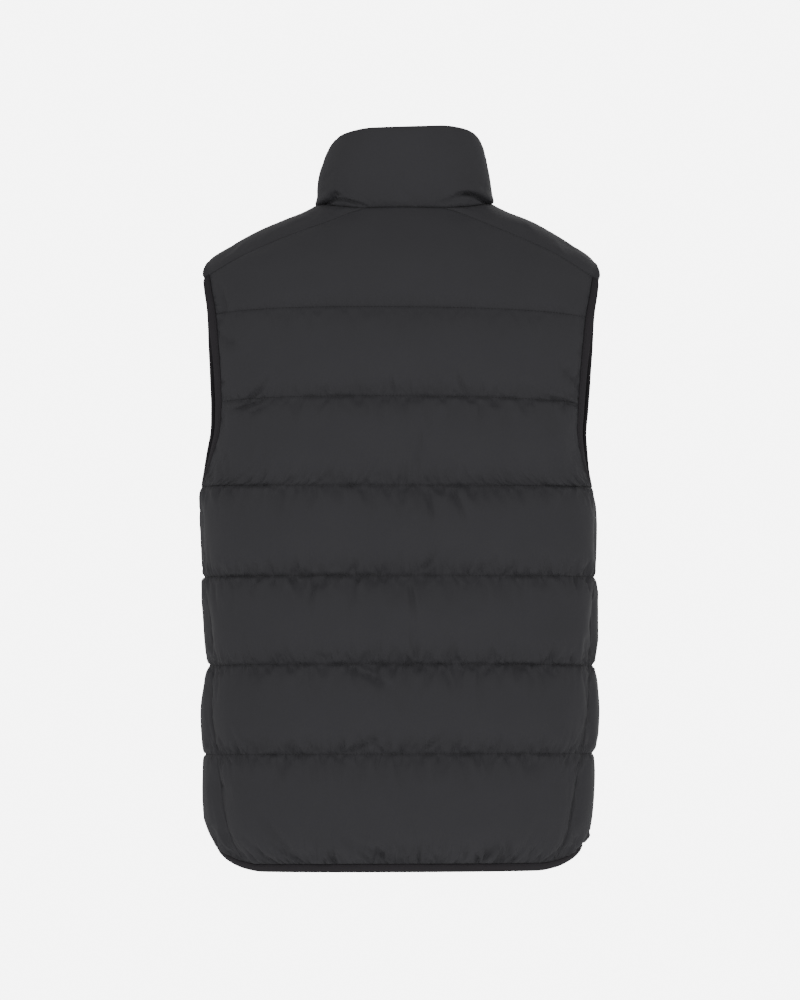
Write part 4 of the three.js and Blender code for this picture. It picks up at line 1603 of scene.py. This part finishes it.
@dataclass
class HemBinding(Binding):
    """The binding along the hem, from one zip edge to the other."""

    def sewn_to(self) -> list[str]:
        """The three panels that reach the hem."""
        return ["back_panel", "front_panel_left", "front_panel_right"]

    def build(self) -> list[bpy.types.Object]:
        """Walks the hem at an even pitch.

        Returns:
            The finished objects.
        """
        end = float(FORM.zip_turn(-660.0))
        angle = np.linspace(-end, end, 2401)
        rough = FORM.point(angle, FORM.hem(np.abs(angle)) + FORM.binding_width)
        length = np.linalg.norm(np.diff(rough, axis=0), axis=1).sum()
        count = round(length / self.rib_pitch) * self.stations_each_rib
        turn = mix(-end, end, even_shares(rough, count))
        z = FORM.hem(np.abs(turn)) + FORM.binding_width
        path, ways = FORM.point(turn, z), FORM.normal(turn, z)
        return self.strip(path, ways, closed=False, down=True, flare=np.zeros(count))


def tooth() -> tuple[Points, Points]:
    """The shape of one moulded tooth: x reaches over the middle of the zip, z is outwards.

    Returns:
        Its points and its faces.
    """
    stations = ((-0.7, 0.35, 0.7), (0.0, 0.6, 1.05), (1.6, 0.5, 1.1), (2.0, 0.75, 1.2), (2.8, 0.75, 1.2))
    corners = np.array([(-1, -1), (1, -1), (1, 1), (-1, 1)])
    rings = [np.column_stack([np.full(4, x), corners * (w, d)]) for x, w, d in stations]
    numbers = np.arange(len(stations) * 4).reshape(-1, 4)
    return np.concatenate(rings), np.concatenate([ring_faces(numbers), numbers[[0, -1]]])


@dataclass
class ZipTape(Piece):
    """The woven tape behind one front's edge."""

    side: Side = Side.RIGHT
    width: float = 14.0
    thickness: float = 0.9
    gap: float = 0.45

    def build(self) -> list[bpy.types.Object]:
        """Sweeps the tape's flat section up the zip.

        Returns:
            The finished objects.
        """
        top = -(FORM.wall + self.gap)
        rings = []
        for depth, order in ((top, (0.15, 2.6, 5.0, 14.0)), (top - self.thickness, (14.0, 5.0, 2.6, 0.15))):
            for x in order:
                points, ways = FORM.beside_zip(x)
                rings.append((points + ways * depth) * (self.side.value, 1, 1))
        loops = np.stack(rings, axis=1)
        made = self.finish(swept(self.name + "_weave", loops, closed=False), self.name)
        return [made]


@dataclass
class ZipChain(Piece):
    """The closed row of teeth, each side's set between the other's."""

    pitch: float = 2.6
    bottom_clear: float = 6.2
    top: float = 7.2
    depth: float = 1.9

    def build(self) -> list[bpy.types.Object]:
        """Sets the teeth up the zip, from the box to the slider.

        Returns:
            The finished objects.
        """
        points, ways = FORM.beside_zip(0.0)
        low = points[0, 2] + self.bottom_clear
        z = points[:, 2]
        dense = np.linspace(low, self.top, 600)
        path = np.stack([np.zeros_like(dense), np.interp(dense, z, points[:, 1]), dense], axis=-1)
        way = unit(read_path(dense, z, ways))
        places, axes = along_path(path - way * self.depth, way, self.pitch / 2)
        sides = np.where(np.arange(len(places)) % 2, 1.0, -1.0)[:, None]
        across = np.array([1.0, 0, 0]) * sides
        turned = np.stack([across, axes[:, 0], axes[:, 2]], axis=1)
        made = scattered(self.name + "_teeth", tooth(), places, turned)
        return [self.finish(made, self.name)]


@dataclass
class HardPiece(Piece):
    """A small moulded or cast piece of the zip, with its sharp edges rounded."""

    body: str = "vest"
    rounding: float = 0.3
    segments: int = 3
    flat_angle: float = 1.0
    sharp_angle: float = 30.0

    def build(self) -> list[bpy.types.Object]:
        """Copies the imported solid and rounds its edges.

        Returns:
            The finished objects.
        """
        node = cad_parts[self.name]
        work = bmesh.new()
        work.from_mesh(node.data)
        work.transform(node.matrix_world)
        bmesh.ops.remove_doubles(work, verts=work.verts, dist=1e-6)
        flat, least = math.radians(self.flat_angle), math.radians(self.sharp_angle)
        bmesh.ops.dissolve_limit(work, angle_limit=flat, verts=work.verts, edges=work.edges)
        sharp = [e for e in work.edges if len(e.link_faces) == 2 and e.calc_face_angle() > least]
        bmesh.ops.bevel(
            work,
            geom=sharp,
            offset=self.rounding * MM,
            segments=self.segments,
            profile=0.5,
            affect="EDGES",
            clamp_overlap=True,
        )
        mesh = bpy.data.meshes.new(self.name)
        work.to_mesh(mesh)
        work.free()
        mesh.shade_smooth()
        made = bpy.data.objects.new(self.name + "_cast", mesh)
        bpy.context.scene.collection.objects.link(made)
        return [self.finish(made, self.name, body=self.body)]


class Grain(Enum):
    """The fine surface of a finish."""

    WEAVE = "plain weave"
    KNIT = "fine elastic knit"
    MOULDED = "moulded or cast"


def calculated(
    nodes: bpy.types.Nodes, links: bpy.types.NodeLinks, operation: str, *values: bpy.types.NodeSocket | float
) -> bpy.types.NodeSocket:
    """Makes a Math node.

    Args:
        nodes: the material's nodes.
        links: the material's links.
        operation: what it does.
        values: sockets to read, or numbers to set.

    Returns:
        The socket that carries its result.
    """
    made = nodes.new("ShaderNodeMath")
    made.operation = operation
    for socket, value in zip(made.inputs, values):
        if isinstance(value, bpy.types.NodeSocket):
            links.new(value, socket)
        else:
            socket.default_value = value
    return made.outputs["Value"]


@dataclass(frozen=True)
class Finish:
    """A surface: its colour with faint random tone changes, its fine grain and its gloss.

    wrinkle_sets gives each set of fine wrinkles its slant in radians, width and length,
    wrinkle_range the noise values between which a wrinkle goes from nothing to its full depth, and
    painted_wrinkle_shade how much painted shade darkens the colour in the wrinkles' troughs.
    """

    name: str
    colour: tuple[float, float, float]
    roughness: float
    grain: Grain = Grain.WEAVE
    grain_mm: float = 0.6
    relief_mm: float = 0.04
    variation: float = 0.04
    patch_mm: float = 45.0
    sheen: float = 0.0
    metallic: float = 0.0
    specular: float = 0.5
    wrinkle_mm: float = 0.0
    # painted shade: how much the colour darkens in the fine wrinkles' troughs
    painted_wrinkle_shade: float = 0.1
    wrinkle_sets: tuple[tuple[float, float, float], ...] = (
        (0.42, 3.2, 34.0), (-0.34, 2.8, 28.0), (0.05, 2.2, 20.0)
    )
    wrinkle_range: tuple[float, float] = (0.45, 0.32)

    def material(self) -> bpy.types.Material:
        """Makes the node material.

        Returns:
            The material, ready to put on a piece.
        """
        made = bpy.data.materials.new(self.name)
        made.use_nodes = True
        nodes, links = made.node_tree.nodes, made.node_tree.links
        shader = nodes["Principled BSDF"]
        place = nodes.new("ShaderNodeTexCoord")
        patches = nodes.new("ShaderNodeTexNoise")
        patches.inputs["Scale"].default_value = 1000 / self.patch_mm
        patches.inputs["Detail"].default_value = 5
        ramp = nodes.new("ShaderNodeValToRGB")
        shades = (1 - self.variation, 1 + self.variation)
        for element, at, shade in zip(ramp.color_ramp.elements, (0.3, 0.7), shades):
            element.position = at
            element.color = (*(c * shade for c in self.colour), 1)
        links.new(place.outputs["Object"], patches.inputs["Vector"])
        links.new(patches.outputs["Fac"], ramp.inputs["Fac"])
        bump = nodes.new("ShaderNodeBump")
        if self.wrinkle_mm:
            # the colour that comes back carries painted shade in the wrinkles' troughs
            colour, normal = self.wrinkles(nodes, links, place, ramp.outputs["Color"])
            links.new(colour, shader.inputs["Base Color"])
            links.new(normal, bump.inputs["Normal"])
        else:
            links.new(ramp.outputs["Color"], shader.inputs["Base Color"])
        bump.inputs["Strength"].default_value = 0.5
        bump.inputs["Distance"].default_value = self.relief_mm * MM
        links.new(self.relief(nodes, links, place), bump.inputs["Height"])
        links.new(bump.outputs["Normal"], shader.inputs["Normal"])
        shader.inputs["Roughness"].default_value = self.roughness
        shader.inputs["Metallic"].default_value = self.metallic
        shader.inputs["Specular IOR Level"].default_value = self.specular
        shader.inputs["Sheen Weight"].default_value = self.sheen
        shader.inputs["Sheen Roughness"].default_value = 0.45
        return made

    def wrinkles(
        self,
        nodes: bpy.types.Nodes,
        links: bpy.types.NodeLinks,
        place: bpy.types.Node,
        colour: bpy.types.NodeSocket,
    ) -> tuple[bpy.types.NodeSocket, bpy.types.NodeSocket]:
        """Makes the nodes of the fine wrinkles that run out from the seams of gathered cloth: a bump, and painted
        shade that darkens the colour in their troughs.

        Args:
            nodes: the material's nodes.
            links: the material's links.
            place: the texture coordinate node.
            colour: the socket with the smooth cloth's colour.

        Returns:
            The sockets that carry the cloth's colour, darkened by painted shade in the wrinkles, and its normal.
        """
        deepest: bpy.types.NodeSocket | None = None
        for slant, width_mm, length_mm in self.wrinkle_sets:
            turned = nodes.new("ShaderNodeMapping")
            turned.vector_type = "TEXTURE"
            turned.inputs["Rotation"].default_value = (0, 0, slant)
            turned.inputs["Scale"].default_value = (width_mm * MM, length_mm * MM, 1)
            links.new(place.outputs["UV"], turned.inputs["Vector"])
            folds = nodes.new("ShaderNodeTexNoise")
            folds.inputs["Scale"].default_value = 0.5
            folds.inputs["Detail"].default_value = 1.0
            links.new(turned.outputs["Vector"], folds.inputs["Vector"])
            trough = nodes.new("ShaderNodeMapRange")
            trough.interpolation_type = "SMOOTHSTEP"
            trough.inputs["From Min"].default_value, trough.inputs["From Max"].default_value = self.wrinkle_range
            links.new(folds.outputs["Fac"], trough.inputs["Value"])
            depth = trough.outputs["Result"]
            deepest = depth if deepest is None else calculated(nodes, links, "MAXIMUM", deepest, depth)
        gathered = nodes.new("ShaderNodeAttribute")
        gathered.attribute_name = GATHERED
        amount = calculated(nodes, links, "MULTIPLY", deepest, gathered.outputs["Fac"])
        # painted shade: the colour is darkened in the wrinkles' troughs, where their shadow would fall
        shade = calculated(nodes, links, "MULTIPLY_ADD", amount, -self.painted_wrinkle_shade, 1.0)
        colour_with_painted_shade = nodes.new("ShaderNodeVectorMath")
        colour_with_painted_shade.operation = "SCALE"
        links.new(colour, colour_with_painted_shade.inputs["Vector"])
        links.new(shade, colour_with_painted_shade.inputs["Scale"])
        bump = nodes.new("ShaderNodeBump")
        bump.invert = True
        bump.inputs["Strength"].default_value = 1.0
        bump.inputs["Distance"].default_value = self.wrinkle_mm * MM
        links.new(amount, bump.inputs["Height"])
        return colour_with_painted_shade.outputs["Vector"], bump.outputs["Normal"]

    def relief(
        self, nodes: bpy.types.Nodes, links: bpy.types.NodeLinks, place: bpy.types.Node
    ) -> bpy.types.NodeSocket:
        """Makes the nodes of the fine grain.

        Args:
            nodes: the material's nodes.
            links: the material's links.
            place: the texture coordinate node.

        Returns:
            The socket that carries the grain's height.
        """
        if self.grain is not Grain.WEAVE:
            cells = nodes.new("ShaderNodeTexVoronoi" if self.grain is Grain.KNIT else "ShaderNodeTexNoise")
            cells.inputs["Scale"].default_value = 1000 / self.grain_mm
            links.new(place.outputs["Object"], cells.inputs["Vector"])
            return cells.outputs["Distance" if self.grain is Grain.KNIT else "Fac"]
        threads = []
        for direction in ("X", "Y"):
            wave = nodes.new("ShaderNodeTexWave")
            wave.bands_direction = direction
            wave.inputs["Scale"].default_value = 1000 / (self.grain_mm * 20 / (2 * math.pi))
            links.new(place.outputs["UV"], wave.inputs["Vector"])
            threads.append(wave.outputs["Fac"])
        return calculated(nodes, links, "MULTIPLY", *threads)


# the shell's fine wrinkles add a bump and darken its colour with painted shade in their troughs
SHELL = Finish(
    "shell_cloth", (0.0565, 0.0556, 0.0612), 0.7, sheen=0.03, variation=0.025, specular=0.25, wrinkle_mm=0.6
)
RIBBED = Finish("binding_cloth", (0.0365, 0.0328, 0.0378), 0.8, Grain.KNIT, 0.7, 0.08, patch_mm=20, specular=0.3)
THREAD = Finish("sewing_thread", (0.027, 0.0265, 0.029), 0.7, Grain.KNIT, 0.4, 0.05, patch_mm=8)
TAPE = Finish("zip_tape_weave", (0.02, 0.02, 0.022), 0.85, Grain.KNIT, 0.8, 0.1, patch_mm=15)
PLASTIC = Finish("zip_teeth_plastic", (0.016, 0.016, 0.018), 0.42, Grain.MOULDED, 0.5, 0.01, patch_mm=6)
METAL = Finish("zip_dark_metal", (0.045, 0.045, 0.05), 0.34, Grain.MOULDED, 0.3, 0.01, patch_mm=4, metallic=0.85)


@dataclass(frozen=True)
class Lamp:
    """A soft square lamp: where it hangs, how large it is and how strong."""

    name: str
    place: tuple[float, float, float]
    size: float
    power: float


@dataclass(frozen=True)
class Studio:
    """A pale floor, soft light all round and a long lens at the photograph's angle."""

    pixel_mm: float = 1.045
    image_high: int = 1000
    centre_mm: tuple[float, float] = (-0.4, -306.2)
    lens_mm: float = 900.0
    sharp_plane_mm: float = -60.0
    floor_mm: float = -1450.0
    floor_radius: float = 8.0
    floor_shade: float = 0.85
    floor_glow: float = 0.25
    seen_sky: float = 6.75
    sky_light: float = 0.42
    lamps: tuple[Lamp, ...] = (
        Lamp("key", (-1.0, -2.8, 1.2), 2.6, 13),
        Lamp("fill", (1.8, -2.6, -0.2), 2.4, 7),
        Lamp("front", (0.6, 3.2, 0.6), 2.4, 18),
    )

    def build(self) -> None:
        """Makes the camera, the sky, the floor and the lights."""
        scene = bpy.context.scene
        lens = bpy.data.cameras.new("camera")
        lens.lens = self.lens_mm
        lens.sensor_width = 36
        lens.clip_end = 100
        camera = bpy.data.objects.new("camera", lens)
        distance = self.pixel_mm * self.image_high * self.lens_mm / lens.sensor_width * MM
        camera.location = (self.centre_mm[0] * MM, self.sharp_plane_mm * MM - distance, self.centre_mm[1] * MM)
        camera.rotation_euler = (math.radians(90), 0, 0)
        scene.collection.objects.link(camera)
        scene.camera = camera
        self.sky()
        self.floor()
        for lamp in self.lamps:
            self.light(lamp)

    def sky(self) -> None:
        """Makes even light all round, in front of a paler seen background."""
        world = bpy.data.worlds.new("studio")
        bpy.context.scene.world = world
        world.use_nodes = True
        nodes, links = world.node_tree.nodes, world.node_tree.links
        sky = nodes["Background"]
        sky.inputs["Color"].default_value = (1, 1, 1, 1)
        path = nodes.new("ShaderNodeLightPath")
        strength = nodes.new("ShaderNodeMapRange")
        strength.inputs["To Min"].default_value = self.sky_light
        strength.inputs["To Max"].default_value = self.seen_sky
        links.new(path.outputs["Is Camera Ray"], strength.inputs["Value"])
        links.new(strength.outputs["Result"], sky.inputs["Strength"])

    def floor(self) -> None:
        """Makes the plain pale floor."""
        place = (0, 0, self.floor_mm * MM)
        bpy.ops.mesh.primitive_circle_add(vertices=96, radius=self.floor_radius, fill_type="NGON", location=place)
        floor = bpy.context.object
        floor.name = "floor"
        finish = bpy.data.materials.new("floor_paper")
        finish.use_nodes = True
        shader = finish.node_tree.nodes["Principled BSDF"]
        shader.inputs["Base Color"].default_value = (self.floor_shade, self.floor_shade, self.floor_shade, 1)
        shader.inputs["Emission Color"].default_value = (1, 1, 1, 1)
        shader.inputs["Emission Strength"].default_value = self.floor_glow
        floor.data.materials.append(finish)

    def light(self, lamp: Lamp) -> None:
        """Hangs a lamp so that it looks at the vest.

        Args:
            lamp: its name, size, place and power.
        """
        light = bpy.data.lights.new(lamp.name, "AREA")
        light.shape, light.size, light.energy = "SQUARE", lamp.size, lamp.power
        hung = bpy.data.objects.new(lamp.name, light)
        hung.visible_camera = False
        hung.location = lamp.place
        aim = Vector((0, 0, self.centre_mm[1] * MM)) - Vector(lamp.place)
        hung.rotation_euler = aim.to_track_quat("-Z", "Y").to_euler()
        bpy.context.scene.collection.objects.link(hung)


YOKE_LOFT = {Side.RIGHT: 4.2, Side.LEFT: 3.2}
BACK_CREASES = (
    Crease(((-139, -179), (-149, -192), (-160, -202), (-168, -218)), 4.0, 2.6, 1.2, 0.8),
    Crease(((-143, -199), (-152, -205), (-165, -209), (-177, -212)), 5.5, 2.2, 1.6, 1.6),
    Crease(((-141, -207), (-151, -213), (-163, -220)), 3.6, 2.2, 1.0, 0.6),
    Crease(((-189, -134), (-180, -140), (-168, -144)), 4.0, 2.6, 1.0, 0.6),
    Crease(((-187, -84), (-184, -100), (-186, -118)), 3.2, 2.8, 0.8),
    Crease(((59, -173), (64, -185), (69, -197)), 2.6, 2.0, 0.6),
    Crease(((-10, -178), (-8, -188), (-5, -198)), 2.4, 2.0, 0.6),
    Crease(((166, -166), (180, -178), (193, -197)), 4.0, 2.6, 1.2, 0.6),
    Crease(((150, -197), (170, -201), (192, -210)), 4.4, 2.2, 1.4, 1.2),
    Crease(((176, -253), (186, -262), (193, -274)), 3.4, 3.0, 0.8),
    Crease(((53, -296), (60, -308), (67, -322)), 4.0, 2.6, 1.0, 0.4),
    Crease(((27, -299), (31, -312), (34, -325)), 3.2, 2.4, 0.8),
    Crease(((19, -381), (29, -372), (38, -361)), 4.0, 2.6, 1.0, 0.4),
    Crease(((9, -389), (12, -407), (14, -424)), 3.4, 2.8, 0.8),
    Crease(((-87, -388), (-92, -400), (-96, -413)), 3.4, 2.6, 0.8),
    Crease(((-51, -482), (-28, -492), (-6, -505)), 4.2, 2.6, 1.2, 0.5),
    Crease(((43, -481), (49, -491), (53, -501)), 3.6, 2.4, 0.8),
    Crease(((-58, -570), (-35, -559), (-14, -548)), 4.2, 2.6, 1.2, 0.5),
    Crease(((22, -568), (34, -558), (45, -552)), 3.8, 2.4, 1.0, 0.4),
    Crease(((4, -628), (28, -618), (53, -607)), 2.6, 6.0, 0.4),
    Crease(((-157, -626), (-136, -650), (-113, -676)), 3.4, 4.5, 0.8),
    Crease(((-62, -658), (-30, -671), (-2, -681)), 3.4, 3.6, 0.8),
)


def main() -> None:
    """Builds the vest piece by piece and reports each one."""
    logging.basicConfig(level=logging.INFO, format="%(message)s")
    Studio().build()
    shell, ribbed, thread_, tape, plastic, metal = (
        finish.material() for finish in (SHELL, RIBBED, THREAD, TAPE, PLASTIC, METAL)
    )
    back = BackPanel("back_panel", "shell", shell, thread_, creases=BACK_CREASES)
    hem = HemBinding("hem_binding", "binding", ribbed, thread_)
    pieces: list[Piece] = [back, Collar("collar", "shell", shell), hem]
    for number, side in enumerate((Side.RIGHT, Side.LEFT)):
        filling = Filling(seed=20 + number)
        pieces += [
            FrontPanel("front_panel_" + side.word, "shell", shell, thread_, filling=filling, side=side),
            Yoke("yoke_" + side.word, "shell", shell, side=side, loft=YOKE_LOFT[side]),
            ArmholeBinding("armhole_binding_" + side.word, "binding", ribbed, thread_, side=side),
            ZipTape("zip_tape_" + side.word, "zip_tape", tape, side=side),
            HardPiece("zip_stop_" + side.word, "zip_metal", metal, rounding=0.2),
        ]
    pieces += [
        ZipChain("zip_chain", "zip_teeth", plastic),
        HardPiece("zip_box", "zip_metal", metal, rounding=0.4),
        HardPiece("zip_slider", "zip_metal", metal),
        HardPiece("zip_pull", "zip_metal", metal, body="zip_pull"),
    ]
    for piece in pieces:
        for made in piece.build():
            log.info("%s: %d faces", made.name, len(made.data.polygons))


if __name__ == "__main__":
    main()
